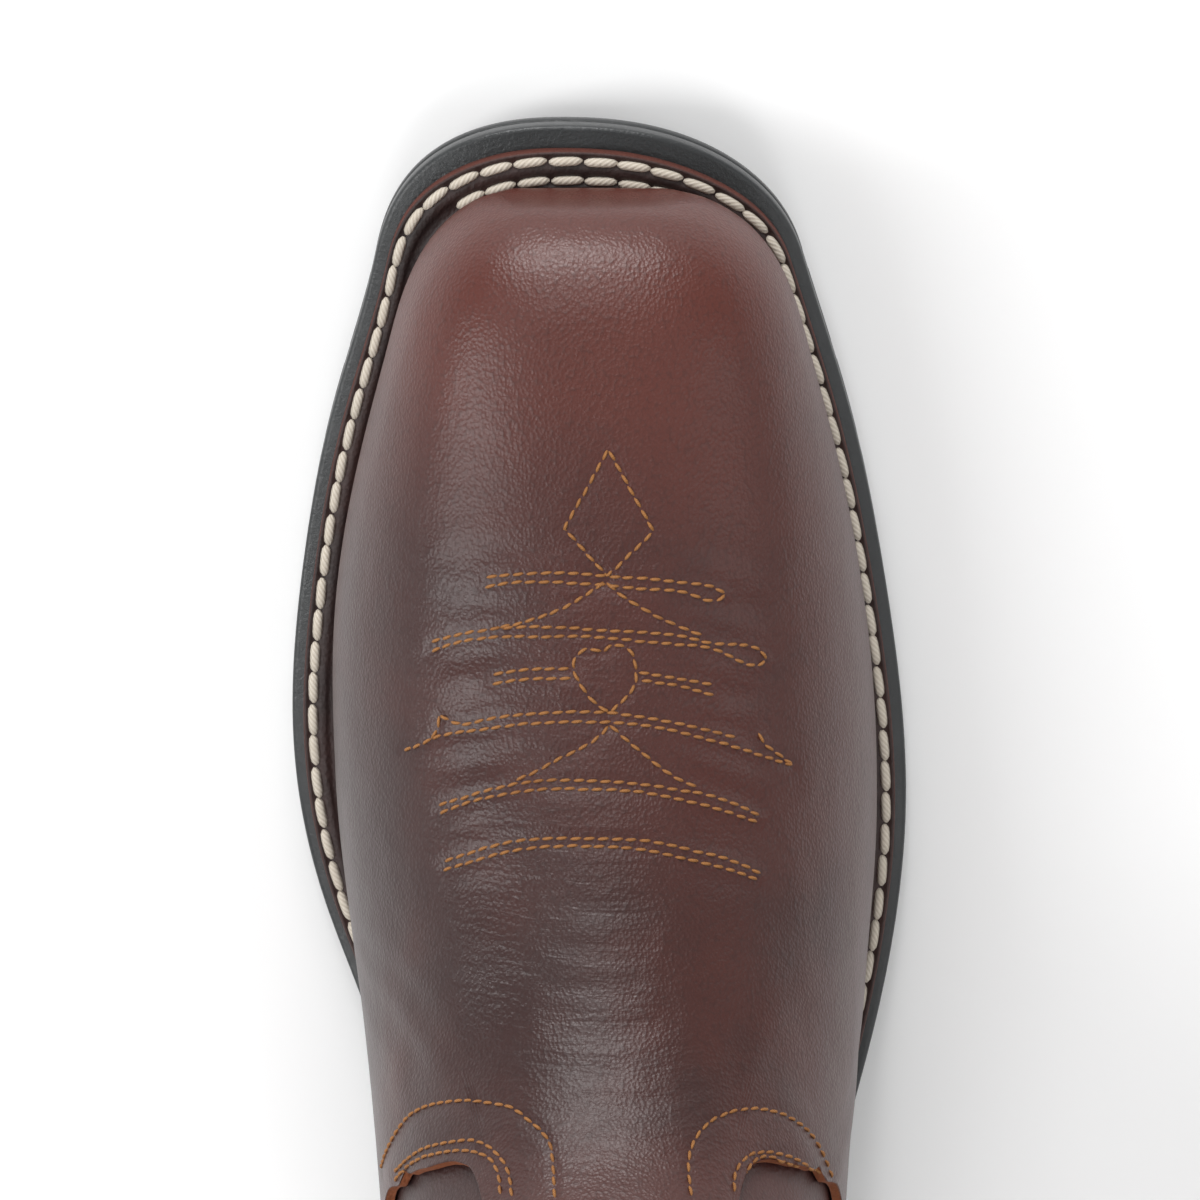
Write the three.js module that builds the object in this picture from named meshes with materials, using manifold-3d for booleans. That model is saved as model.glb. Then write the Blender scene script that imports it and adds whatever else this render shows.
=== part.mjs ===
// Right-foot western work boot with a broad square toe, in millimetres.
// The ground is z = 0, the toe points along -Y and the inner side of the foot is +X.
// The origin is the middle of the heel's ground face.
import * as THREE from 'three';
import Module from 'manifold-3d';
import { mergeVertices } from 'three/addons/utils/BufferGeometryUtils.js';

const wasm = await Module();
wasm.setup();

// Whole boot
const soleLength = 313;        // toe tip to heel back
const ballWidth = 117.4;       // outsole across the ball of the foot
const bootHeight = 305;        // ground to the collar at the sides
const shaftWidth = 94;         // across the collar
const instepRise = 91;         // top line above the welt at the instep
const clearance = 0.3;         // between neighbouring pieces
const overlayGap = 0.5;        // under the leather that lies over the upper

// Sole
const heelHeight = 38;         // ground to the outsole at the back
const toeSpring = 9.5;         // tread above the ground at the toe
const outsoleThickness = 9;    // forepart, tread included
const seatThickness = 5;       // outsole at the back
const levelStart = .31 * soleLength;
const levelEnd = .425 * soleLength;
const shankEnd = .875 * soleLength;
const weltThickness = 3.2;
const weltInset = 0.9;         // welt edge inside the outsole edge
const weltTongue = 7;          // welt under the edge of the upper
const soleTip = { offset: -7, reach: 26, fullness: 2.3 };
const soleBack = { reach: 34, fullness: 2.3 };
const edgeRound = 0.9;         // rounded rim of the outsole
const ribDepth = 0.8;          // groove round the side of the outsole
const insoleThickness = 3.5;

// Tread
const grooveDepth = 3;
const grooveWidth = 4.5;
const groovePitch = 17;
const grooveSweep = 9;         // how far the middle of a groove runs ahead of its ends
const treadStart = 24;         // first groove behind the toe tip
const treadEnd = 158;

// Heel
const heelLength = 75;         // breast to back
const heelInset = .6;          // heel block inside the edge of the outsole
const heelTaper = 2.6;         // ground face inside the heel seat
const breastHollow = 5;        // curve of the breast
const topLiftThickness = 7;
const heelGrooves = [.2, .74, .9];   // shares of the heel's length

// Upper
const upperWall = 2.4;         // leather and lining
const toeSetback = 7.9;        // front of the vamp behind the toe tip of the sole
const heelSetback = 3.2;       // back of the counter ahead of the back of the sole
const toeReach = 30;           // length over which the toe box closes
const toeFullness = 3;
const heelReach = 34;
const heelFullness = 2.2;
const tuckHeight = 11;         // height at which the upper bulges most over the welt
const counterHeight = 50;      // height of the last foot ring at the back
const backLean = 4.6;          // how far the back line leans in at the ankle
const backBulge = 22;          // height of the roundest part of the counter

// Overlays
const vampThickness = 1.8;     // also that of the counter
const seamAlong = .72 * soleLength;   // side seam behind the toe tip
const seamGap = 1;
const pipingWidth = 3.6;
const pipingThickness = 1.9;
const bindingThickness = 1.2;
const bindingDepth = 9;

// Pull straps
const strapWidth = 32;
const strapThickness = 2.2;
const strapOuterLeg = 60;
const strapInnerLeg = 38;
const strapLoop = 16;          // finger room above the collar

// Sections along the foot. along is a share of soleLength from the toe and rise of instepRise. The widths and
// the tuck are shares of ballWidth. boxy squares a section.
const footSections = [
  { at: 'toe end', along: 0, soleInner: .335, soleOuter: .264, inner: .281, outer: .273, centre: -.043, tuck: .03, rise: .36, boxy: 3.2 },
  { at: 'toe corner', along: .067, soleInner: .348, soleOuter: .309, inner: .300, outer: .293, centre: -.020, tuck: .023, rise: .41, boxy: 3.1 },
  { at: 'toe box', along: .179, soleInner: .427, soleOuter: .399, inner: .371, outer: .366, centre: -.010, tuck: .023, rise: .522, boxy: 2.7 },
  { at: 'vamp', along: .288, soleInner: .483, soleOuter: .461, inner: .425, outer: .425, centre: -.004, tuck: .023, rise: .637, boxy: 2.4 },
  { at: 'inner joint', along: .383, soleInner: .501, soleOuter: .495, inner: .430, outer: .448, centre: .002, tuck: .023, rise: .764, boxy: 2.25 },
  { at: 'outer joint', along: .438, soleInner: .489, soleOuter: .501, inner: .421, outer: .448, centre: .007, tuck: .023, rise: .863, boxy: 2.2 },
  { at: 'instep', along: .502, soleInner: .448, soleOuter: .489, inner: .400, outer: .437, centre: .012, tuck: .024, rise: 1, boxy: 2.2 },
  { at: 'waist front', along: .575, soleInner: .375, soleOuter: .451, inner: .371, outer: .412, centre: .015, tuck: .032, rise: 1.187, boxy: 2.5 },
  { at: 'waist', along: .665, soleInner: .318, soleOuter: .385, inner: .343, outer: .386, centre: .016, tuck: .05, rise: 1.407, boxy: 2.8 },
  { at: 'heel breast', along: .767, soleInner: .296, soleOuter: .350, inner: .320, outer: .358, centre: .017, tuck: .036, rise: 1.593, boxy: 3.1 },
  { at: 'heel middle', along: .911, soleInner: .300, soleOuter: .337, inner: .292, outer: .327, centre: .017, tuck: .014, rise: 1.758, boxy: 3.1 },
  { at: 'heel end', along: 1, soleInner: .288, soleOuter: .322, inner: .280, outer: .314, centre: .017, tuck: .014, rise: 1.813, boxy: 3.1 },
];

// Rings round the foot from the welt to the instep. wall is a height on the front of the toe box and along a
// place on the top line, both as shares; back is a share of counterHeight.
const footRings = [
  { wall: 0, back: 0 }, { wall: .13, back: .06 }, { wall: .31, back: .14 }, { wall: .50, back: .23 },
  { wall: .67, back: .31 }, { wall: .80, back: .39 },
  { along: .070, back: .47 }, { along: .104, back: .55 }, { along: .149, back: .62 }, { along: .204, back: .70 },
  { along: .265, back: .78 }, { along: .328, back: .86 }, { along: .392, back: .93 }, { along: .450, back: 1 },
];

// Rings up the shaft. front and back are shares of soleLength, the three heights of bootHeight and width of
// shaftWidth; full squares the oval.
const shaftRings = [
  { at: 'throat', front: .560, back: .962, frontUp: .440, sideUp: .413, backUp: .388, width: .855, full: 2.6 },
  { at: 'ankle', front: .569, back: .955, frontUp: .520, sideUp: .500, backUp: .480, width: .865, full: 2.45 },
  { at: 'lower shaft', front: .562, back: .952, frontUp: .630, sideUp: .620, backUp: .600, width: .89, full: 2.35 },
  { at: 'middle shaft', front: .543, back: .953, frontUp: .750, sideUp: .755, backUp: .735, width: .93, full: 2.3 },
  { at: 'upper shaft', front: .520, back: .957, frontUp: .850, sideUp: .885, backUp: .860, width: .97, full: 2.3 },
  { at: 'collar', front: .505, back: .960, frontUp: .922, sideUp: 1, backUp: .941, width: 1, full: 2.3 },
];

// Top edges of the vamp and the counter. back is 0 at the front, 1 at the side seam and 2 at the back; ring
// counts up the two tables above.
const overlayEdge = [
  { at: 'tongue tip', back: 0, ring: 14.85 }, { at: 'tongue tip', back: .1, ring: 14.75 },
  { at: 'tongue', back: .19, ring: 14.5 }, { at: 'tongue', back: .25, ring: 14.15 },
  { at: 'tongue', back: .272, ring: 13.85 }, { at: 'tongue foot', back: .276, ring: 13.62 },
  { at: 'arch', back: .295, ring: 13.46 }, { at: 'arch', back: .34, ring: 13.36 },
  { at: 'arch', back: .42, ring: 13.24 }, { at: 'arch', back: .5, ring: 13.08 },
  { at: 'arch', back: .57, ring: 12.8 }, { at: 'side', back: .64, ring: 12.1 }, { at: 'side', back: .71, ring: 11.5 },
  { at: 'side', back: .8, ring: 11 }, { at: 'side seam', back: .92, ring: 10.7 }, { at: 'side seam', back: 1.08, ring: 10.7 },
  { at: 'counter', back: 1.25, ring: 11.1 }, { at: 'counter', back: 1.45, ring: 12 },
  { at: 'counter', back: 1.65, ring: 13 }, { at: 'counter', back: 1.82, ring: 13.7 },
  { at: 'counter peak', back: 1.93, ring: 14.05 }, { at: 'counter peak', back: 2, ring: 14.15 },
];

// Curves through the tables

// Natural cubic spline through the points (xs, ys).
function spline(xs, ys) {
  const n = xs.length;
  const bend = new Array(n).fill(0);
  const work = new Array(n).fill(0);
  for (let i = 1; i < n - 1; i++) {
    const ratio = (xs[i] - xs[i - 1]) / (xs[i + 1] - xs[i - 1]);
    const pivot = ratio * bend[i - 1] + 2;
    const kink = (ys[i + 1] - ys[i]) / (xs[i + 1] - xs[i]) - (ys[i] - ys[i - 1]) / (xs[i] - xs[i - 1]);
    bend[i] = (ratio - 1) / pivot;
    work[i] = (6 * kink / (xs[i + 1] - xs[i - 1]) - ratio * work[i - 1]) / pivot;
  }
  bend[n - 1] = 0;
  for (let i = n - 2; i >= 0; i--) bend[i] = bend[i] * bend[i + 1] + work[i];
  bend[0] = 0;
  return (x) => {
    let i = 0;
    while (i < n - 2 && x > xs[i + 1]) i++;
    const width = xs[i + 1] - xs[i];
    const a = (xs[i + 1] - x) / width;
    const b = 1 - a;
    return a * ys[i] + b * ys[i + 1] + ((a ** 3 - a) * bend[i] + (b ** 3 - b) * bend[i + 1]) * width ** 2 / 6;
  };
}

// 0 below low, 1 above high and smooth in between.
function smoothStep(low, high, value) {
  const t = Math.min(1, Math.max(0, (value - low) / (high - low)));
  return t * t * t * (10 - 15 * t + 6 * t * t);
}

const alongs = footSections.map((row) => row.along * soleLength);
const column = (name, size) => spline(alongs, footSections.map((row) => row[name] * size));
const soleInner = column('soleInner', ballWidth);
const soleOuter = column('soleOuter', ballWidth);
const innerSide = column('inner', ballWidth);
const outerSide = column('outer', ballWidth);
const centreLine = column('centre', ballWidth);
const tuckDepth = column('tuck', ballWidth);
const rise = column('rise', instepRise);
const boxy = column('boxy', 1);

const heelOffset = (soleOuter(soleLength) - soleInner(soleLength)) / 2;
const heelHalf = (soleOuter(soleLength) + soleInner(soleLength)) / 2;
const originAlong = soleLength - heelLength / 2;

// A point at a distance behind the toe tip, an offset towards the outer side and a height.
const place = (along, across, height) => [heelOffset - across, along - originAlong, height];

// 0 at a rounded end and 1 from reach onwards.
function closing(distance, reach, fullness) {
  const t = Math.min(1, Math.max(0, distance / reach));
  return Math.pow(1 - Math.pow(1 - t, fullness), 1 / fullness);
}

// Heights of the sole's layers. The tread is level from levelStart to levelEnd.
const shankRise = (along) => .9 * smoothStep(levelEnd, shankEnd, along)
  + .1 * Math.max(0, (along - levelEnd) / (soleLength - levelEnd)) ** 2;
const bed = (along) => outsoleThickness + toeSpring * Math.max(0, 1 - along / levelStart) ** 2
  + (heelHeight + seatThickness - outsoleThickness) * shankRise(along);
const thinning = (along) => (outsoleThickness - seatThickness) * smoothStep(levelEnd, shankEnd, along);
const tread = (along) => bed(along) - outsoleThickness + thinning(along);
const weltTop = (along) => bed(along) + clearance + weltThickness;
const feather = (along) => weltTop(along) + clearance;

// Upper's surface

const cover = overlayGap + vampThickness;

const tuck = (along, height) => tuckDepth(along) * Math.max(0, 1 - height / tuckHeight) ** 2;
const toeFront = (height) => toeSetback + cover + tuck(0, height);
const heelEnd = (height) => soleLength - heelSetback - cover
  - backLean * ((height - backBulge) / (counterHeight - backBulge)) ** 2;

// Share of the half-width left at a height above the welt: 1 at the welt and 0 on the top line.
function opening(along, height) {
  const share = Math.min(1, Math.max(0, height / (rise(along) - cover)));
  return Math.pow(1 - Math.pow(share, boxy(along)), 1 / boxy(along));
}

const toeGap = (along, height) => Math.max(0, 1 - (along - toeFront(height)) / toeReach);
const heelGap = (along, height) => Math.max(0, 1 - (heelEnd(height) - along) / heelReach);

// Height of the top line above the welt.
function topLine(along) {
  const gap = toeGap(along, tuckHeight);
  return (rise(along) - cover) * Math.pow(1 - Math.pow(gap, boxy(along)), 1 / boxy(along));
}

// How far the upper reaches to one side (1 outer, -1 inner) at a height.
function reachAcross(side, along, height) {
  const atToe = along < soleLength / 2;
  const gap = atToe ? toeGap(along, height) : heelGap(along, height);
  const fullness = atToe ? toeFullness : heelFullness;
  const share = Math.pow(Math.max(0, opening(along, height) ** fullness - gap ** fullness), 1 / fullness);
  const half = (side < 0 ? innerSide(along) : outerSide(along)) - cover - tuck(along, height);
  const centre = centreLine(along);
  return centre + side * (half - side * centre) * share;
}

// Where a rising function crosses zero.
function crossing(f, low, high) {
  for (let i = 0; i < 50; i++) {
    const middle = (low + high) / 2;
    if (f(middle) < 0) low = middle;
    else high = middle;
  }
  return (low + high) / 2;
}

// Polyline with its running length, read by its share of the whole length.
function measured(points) {
  const lengths = [0];
  for (let i = 1; i < points.length; i++) {
    lengths.push(lengths[i - 1] + Math.hypot(...points[i].map((value, k) => value - points[i - 1][k])));
  }
  const whole = lengths[lengths.length - 1];
  return (share) => {
    const target = share * whole;
    let low = 0;
    let high = points.length - 1;
    while (high - low > 1) {
      const middle = (low + high) >> 1;
      if (lengths[middle] <= target) low = middle;
      else high = middle;
    }
    const t = Math.min(1, Math.max(0, (target - lengths[low]) / (lengths[high] - lengths[low] || 1)));
    return points[low].map((value, k) => value + t * (points[high][k] - value));
  };
}

const fineSteps = 260;
const crowded = (t) => (t < .5 ? 8 * t ** 4 : 1 - 8 * (1 - t) ** 4);

function footRing(row, side) {
  const onTop = row.along !== undefined;
  const start = onTop ? row.along * soleLength : toeFront(0);
  const first = onTop ? topLine(start) : row.wall * (rise(0) - cover);
  const last = row.back * counterHeight;
  const height = (along) => first + (last - first) * (along - start) / (heelEnd(last) - start);
  const front = onTop ? start
    : crossing((a) => opening(a, height(a)) - toeGap(a, height(a)), toeFront(0) - 1, soleLength / 2);
  const back = -crossing((a) => opening(-a, height(-a)) - heelGap(-a, height(-a)), -soleLength, -soleLength / 2);
  const points = [];
  for (let i = 0; i <= fineSteps; i++) {
    const along = front + (back - front) * crowded(i / fineSteps);
    const end = i === 0 || i === fineSteps;
    const across = end ? centreLine(along) : reachAcross(side, along, height(along));
    points.push([along, across, feather(along) + height(along)]);
  }
  return measured(points);
}

function shaftRing(row, side) {
  const power = 2 / row.full;
  const points = [];
  for (let i = 0; i <= fineSteps; i++) {
    const angle = Math.PI * i / fineSteps;
    const cosine = Math.cos(angle);
    const sine = Math.max(0, Math.sin(angle));
    const share = (1 - Math.sign(cosine) * Math.abs(cosine) ** power) / 2;
    const middle = (row.frontUp + row.backUp) / 2;
    const up = row.frontUp + (row.backUp - row.frontUp) * (1 - cosine) / 2 + (row.sideUp - middle) * sine ** 2;
    points.push([
      soleLength * (row.front + (row.back - row.front) * share),
      heelOffset + side * shaftWidth * row.width / 2 * sine ** power,
      bootHeight * up,
    ]);
  }
  return measured(points);
}

const ringPairs = [...footRings.map((row) => [footRing(row, -1), footRing(row, 1)]),
  ...shaftRings.map((row) => [shaftRing(row, -1), shaftRing(row, 1)])];
const lastRing = ringPairs.length - 1;
const meridians = new Map();

// Curve up the upper. turn is 0 at the front and 1 at the back, negative on the inner side.
function meridian(turn) {
  const key = turn.toFixed(6);
  if (!meridians.has(key)) {
    const points = ringPairs.map(([inner, outer]) => (turn < 0 ? inner(-turn) : outer(turn)));
    const knots = [0];
    for (let i = 1; i < points.length; i++) {
      knots.push(knots[i - 1] + Math.hypot(...points[i].map((value, k) => value - points[i - 1][k])));
    }
    meridians.set(key, { knots, curves: [0, 1, 2].map((k) => spline(knots, points.map((point) => point[k]))) });
  }
  return meridians.get(key);
}

// Point of the upper's outside. ring counts up the rows of the two ring tables.
function skin(turn, ring) {
  const { knots, curves } = meridian(turn > 1 ? turn - 2 : turn < -1 ? turn + 2 : turn);
  const low = Math.min(lastRing - 1, Math.max(0, Math.floor(ring)));
  const t = knots[low] + (ring - low) * (knots[low + 1] - knots[low]);
  return curves.map((curve) => curve(t));
}

// Point of the upper moved outwards by a distance; the two edges stay at their height.
function shell(turn, ring, distance) {
  const point = skin(turn, ring);
  const step = .004;
  const [a, b] = [skin(turn + step, ring), skin(turn - step, ring)];
  const [c, d] = [skin(turn, Math.min(lastRing, ring + .05)), skin(turn, Math.max(0, ring - .05))];
  const round = a.map((value, k) => value - b[k]);
  const up = c.map((value, k) => value - d[k]);
  const level = Math.min(1, ring, (lastRing - ring) * 2);
  const normal = [
    round[1] * up[2] - round[2] * up[1],
    round[2] * up[0] - round[0] * up[2],
    (round[0] * up[1] - round[1] * up[0]) * Math.max(0, level),
  ];
  const length = -Math.hypot(...normal);
  const moved = point.map((value, k) => value + normal[k] * distance / length);
  if (ring === 0) moved[2] = feather(moved[0]);
  return moved;
}

// Solids

// Closed solid through loops of equally many points. A round solid joins the last loop to the first; the others
// get a flat ladder across their two end loops.
function solid(loops, round = false) {
  const count = loops[0].length;
  const positions = loops.flat().flatMap((point) => place(...point));
  const index = [];
  const face = (a, b, c) => index.push(a, b, c);
  for (let k = 0; k < (round ? loops.length : loops.length - 1); k++) {
    const next = (k + 1) % loops.length;
    for (let i = 0; i < count; i++) {
      const j = (i + 1) % count;
      face(k * count + i, k * count + j, next * count + i);
      face(k * count + j, next * count + j, next * count + i);
    }
  }
  if (!round) {
    for (const [base, flip] of [[0, false], [(loops.length - 1) * count, true]]) {
      for (let i = 0; 2 * i < count - 1; i++) {
        const corners = [i, i + 1, count - 1 - i, (count - i) % count].map((value) => base + value);
        const rungs = i === 0 ? [[corners[0], corners[2], corners[1]]]
          : [[corners[0], corners[3], corners[2]], [corners[0], corners[2], corners[1]]];
        for (const [a, b, c] of rungs) {
          if (new Set([a, b, c]).size === 3) {
            if (flip) face(a, c, b);
            else face(a, b, c);
          }
        }
      }
    }
  }
  const geometry = new THREE.BufferGeometry();
  geometry.setAttribute('position', new THREE.Float32BufferAttribute(positions, 3));
  geometry.setIndex(volume(positions, index) < 0 ? turned(index) : index);
  return geometry;
}

function volume(positions, index) {
  let sum = 0;
  for (let i = 0; i < index.length; i += 3) {
    const [a, b, c] = [0, 1, 2].map((k) => new THREE.Vector3().fromArray(positions, 3 * index[i + k]));
    sum += a.dot(b.cross(c));
  }
  return sum / 6;
}

function turned(index) {
  const result = index.slice();
  for (let i = 0; i < result.length; i += 3) [result[i + 1], result[i + 2]] = [result[i + 2], result[i + 1]];
  return result;
}

function asManifold(geometry) {
  const merged = mergeVertices(geometry, 1e-5);
  return new wasm.Manifold(new wasm.Mesh({
    numProp: 3,
    vertProperties: new Float32Array(merged.attributes.position.array),
    triVerts: new Uint32Array(merged.index.array),
  }));
}

// The first solid with the others cut out of it.
function cutFrom(body, cutters) {
  const mesh = cutters.reduce((left, cutter) => left.subtract(asManifold(cutter)), asManifold(body)).getMesh();
  const geometry = new THREE.BufferGeometry();
  geometry.setAttribute('position', new THREE.Float32BufferAttribute(mesh.vertProperties, 3));
  geometry.setIndex(Array.from(mesh.triVerts));
  return geometry;
}

// Loop of plan points moved inwards by a distance.
function inset(loop, distance) {
  const count = loop.length;
  const inward = loop.map(([along, across], i) => {
    const next = loop[(i + 1) % count];
    const length = Math.hypot(next[0] - along, next[1] - across);
    return [(next[1] - across) / length, (along - next[0]) / length];
  });
  return loop.map(([along, across], i) => {
    const [a, b] = [inward[(i + count - 1) % count], inward[i]];
    const scale = distance / (1 + a[0] * b[0] + a[1] * b[1]);
    return [along + (a[0] + b[0]) * scale, across + (a[1] + b[1]) * scale];
  });
}

const atHeight = (loop, height) => loop.map(([along, across]) => [along, across, height(along)]);

// Sole

// Edge of the sole on one side, in plan.
function soleEdge(side, along) {
  const half = side < 0 ? soleInner(along) : soleOuter(along);
  const atToe = along < soleLength / 2;
  const middle = atToe ? soleTip.offset : heelOffset;
  const share = atToe ? closing(along, soleTip.reach, soleTip.fullness)
    : closing(soleLength - along, soleBack.reach, soleBack.fullness);
  return [along, middle + side * (half - side * middle) * share];
}

// Loop from the front middle round the outer side, the back and the inner side.
function outline(edge, alongs) {
  const outer = alongs.map((along) => edge(1, along));
  const inner = alongs.map((along) => edge(-1, along));
  return [...outer, ...inner.slice(1, -1).reverse()];
}

const endSteps = [0, .2, .8, 2, 4.2, 7.4, 11.8, 18, 26];
const bodySteps = 27;
const soleAlongs = [
  ...endSteps,
  ...Array.from({ length: bodySteps }, (_, i) => 26 + (soleLength - 52) * (i + 1) / (bodySteps + 1)),
  ...endSteps.map((step) => soleLength - step).reverse(),
];
const solePlan = outline(soleEdge, soleAlongs);

function outsole() {
  const rim = (along) => bed(along) - edgeRound;
  const ribAt = (share) => (along) => tread(along) + 2 + (rim(along) - tread(along) - 2) * share;
  const loops = [
    atHeight(inset(solePlan, 1.2), tread),
    atHeight(solePlan, (along) => tread(along) + 1.4),
    atHeight(inset(solePlan, ribDepth), ribAt(.45)),
    atHeight(solePlan, ribAt(.6)),
    atHeight(solePlan, rim),
    atHeight(inset(solePlan, edgeRound), bed),
  ];
  const grooves = [];
  for (let along = treadStart; along <= treadEnd; along += groovePitch) grooves.push(groove(along, tread));
  return cutFrom(solid(loops), grooves);
}

// Bar across the sole, cut to a front and a back line and to a lowest and a highest surface.
function bar(front, back, low, high) {
  return solid([-1, -.75, -.5, -.25, 0, .25, .5, .75, 1].map((share) => {
    const across = heelOffset + share * ballWidth * .6;
    const [near, far] = [front(share), back(share)];
    return [[near, across, low], [far, across, low], [far, across, high(near)], [near, across, high(far)]];
  }));
}

// Cutter for a swept groove right across the tread.
function groove(along, ground) {
  const middle = (share) => along - grooveSweep * (1 - Math.abs(share) ** 1.4);
  const depth = () => ground(along - grooveSweep / 2) + grooveDepth;
  return bar((share) => middle(share) - grooveWidth / 2, (share) => middle(share) + grooveWidth / 2, -5, depth);
}

// Plan of the heel, tapered inwards, before the hollow breast is cut.
const breast = soleLength - heelLength;
function heelPlan(taper) {
  const alongs = soleAlongs.filter((along) => along > breast - 12);
  return inset([[alongs[0] - 2, heelOffset], ...outline(soleEdge, alongs), soleEdge(-1, alongs[0])], taper);
}

function breastCutter() {
  const hollow = (share) => breast + breastHollow * Math.max(0, 1 - (share * ballWidth * .6 / heelHalf) ** 2);
  return bar(() => breast - 40, hollow, -5, () => heelHeight + 10);
}

function heelBlock() {
  const foot = topLiftThickness + clearance;
  const share = 1 - foot / heelHeight;
  const body = solid([
    atHeight(heelPlan(heelInset + heelTaper * share), () => foot),
    atHeight(heelPlan(heelInset), (along) => tread(along) - clearance),
  ]);
  return cutFrom(body, [breastCutter()]);
}

function topLift() {
  const share = 1 - topLiftThickness / heelHeight;
  const body = solid([
    atHeight(heelPlan(heelInset + heelTaper), () => 0),
    atHeight(heelPlan(heelInset + heelTaper * share), () => topLiftThickness),
  ]);
  const grooves = heelGrooves.map((along) => groove(breast + along * heelLength + grooveSweep, () => 0));
  return cutFrom(body, [breastCutter(), ...grooves]);
}

// Turns of the columns round the upper, closer together at the toe and at the heel.
const sideColumns = 28;
const columnTurn = (i) => i / sideColumns - .25 * Math.sin(2 * Math.PI * i / sideColumns) / (2 * Math.PI);
const turns = [
  ...Array.from({ length: sideColumns + 1 }, (_, i) => columnTurn(i)),
  ...Array.from({ length: sideColumns - 1 }, (_, i) => -columnTurn(sideColumns - 1 - i)),
];

const edgeCurves = [-1, 1].map((side) => measured(soleAlongs.map((along) => soleEdge(side, along))));
const edgeAt = (turn) => (turn < 0 ? edgeCurves[0](-turn) : edgeCurves[1](turn));

function welt() {
  const fineTurns = turns.flatMap((turn, i) => {
    const next = turns[(i + 1) % turns.length];
    return [turn, next < turn - 1 ? (next - turn) / 2 : (turn + next) / 2];
  });
  const outer = fineTurns.map(edgeAt);
  const inner = fineTurns.map((turn) => shell(turn, 0, -weltTongue));
  const low = (along) => bed(along) + clearance;
  return solid([
    atHeight(inset(outer, weltInset), low),
    atHeight(inset(outer, weltInset), weltTop),
    atHeight(inner, weltTop),
    atHeight(inner, low),
  ], true);
}

function insole() {
  const plan = turns.map((turn) => shell(turn, 0, -weltTongue - clearance));
  const low = (along) => bed(along) + clearance;
  return solid([atHeight(plan, low), atHeight(plan, (along) => low(along) + insoleThickness)]);
}

// Upper

const lowRings = [0, 1, 2, 3, 4, 5, 6, 7, 8, 9.5, 11, 12, 13, 13.4, 13.75, 14.3];
const shellRings = [...lowRings, 15, 16, 17.5, lastRing];
const liningRings = [lastRing, 16.5, 15, 14.3, 13.75, 13.4, 13, 11, 9.5, 7, 5, 3, 0];

function upper() {
  const outside = shellRings.map((ring) => turns.map((turn) => skin(turn, ring)));
  const inside = liningRings.map((ring) => turns.map((turn) => {
    const point = shell(turn, ring, -upperWall);
    if (ring === lastRing) point[2] = skin(turn, ring)[2];
    return point;
  }));
  return solid([...outside, ...inside], true);
}

// Turn of the side seam at a ring.
function seamTurn(side, ring) {
  return side * crossing((turn) => skin(side * turn, ring)[0] - seamAlong, .2, .95);
}

// Turn at a share of the way back: 0 front, 1 side seam, 2 back.
function turnAt(side, back, ring) {
  const seam = seamTurn(side, ring);
  return back < 1 ? seam * back : seam + (side - seam) * (back - 1);
}

// Band of leather over the upper, cut along the overlays' top edges and across by a block.
function overlay(blockFrom, blockTo) {
  const rows = (distance) => lowRings.concat(15.2).map((ring) => turns.map((turn) => shell(turn, ring, distance)));
  const band = solid([...rows(overlayGap), ...rows(cover).reverse()], true);
  const columns = [...overlayEdge.map((row) => [1, row]), ...overlayEdge.slice(1, -1).reverse().map((row) => [-1, row])];
  const above = columns.map(([side, row]) => {
    const rings = [0, .15, .35, .6, 1].map((share) => row.ring + (16 - row.ring) * share);
    const sheet = (distance) => rings.map((ring) => shell(turnAt(side, row.back, ring), ring, distance));
    return [...sheet(cover + 4), ...sheet(overlayGap - 1.6).reverse()];
  });
  const wide = ballWidth;
  const corners = [[blockFrom, -wide], [blockTo, -wide], [blockTo, wide], [blockFrom, wide]];
  const block = solid([atHeight(corners, () => 0), atHeight(corners, () => bootHeight)]);
  return cutFrom(band, [solid(above, true), block]);
}

const vamp = () => overlay(seamAlong - seamGap / 2, 2 * soleLength);
const counter = () => overlay(-soleLength, seamAlong + seamGap / 2);

// Raised piping from the top of the overlays to the foot of the pull strap.
function sideSeam(side) {
  const low = overlayEdge.find((row) => row.back > 1).ring + .15;
  const high = ringBelow(side / 2, strapOuterLeg + 3);
  const halfTurn = pipingWidth / 2 / 175;
  return solid([0, .06, .14, .25, .38, .52, .68, .84, 1].map((share) => {
    const ring = low + (high - low) * share;
    const turn = seamTurn(side, ring);
    return [[-1, 0], [-.7, .75], [0, 1], [.7, .75], [1, 0]].map(([across, up]) => (
      shell(turn + across * halfTurn, ring, overlayGap + clearance + up * pipingThickness)));
  }));
}

// Ring a distance below the collar.
function ringBelow(turn, depth) {
  const { knots } = meridian(turn);
  const k = knots.findLastIndex((knot) => knot <= knots[lastRing] - depth);
  return k < 0 ? 0 : k + (knots[lastRing] - depth - knots[k]) / (knots[k + 1] - knots[k] || 1);
}

function collarBinding() {
  const outside = clearance + bindingThickness;
  const inside = -upperWall - outside;
  const onLeg = (distance) => turns.map((turn) => shell(turn, ringBelow(turn, bindingDepth), distance));
  const onTop = (distance, height) => turns.map((turn) => {
    const [along, across] = shell(turn, lastRing, distance);
    return [along, across, skin(turn, lastRing)[2] + height];
  });
  return solid([
    onLeg(outside), onTop(outside, outside), onTop(inside, outside), onLeg(inside), onLeg(-upperWall - clearance),
    onTop(-upperWall - clearance, clearance), onTop(clearance, clearance), onLeg(clearance),
  ], true);
}

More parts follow.
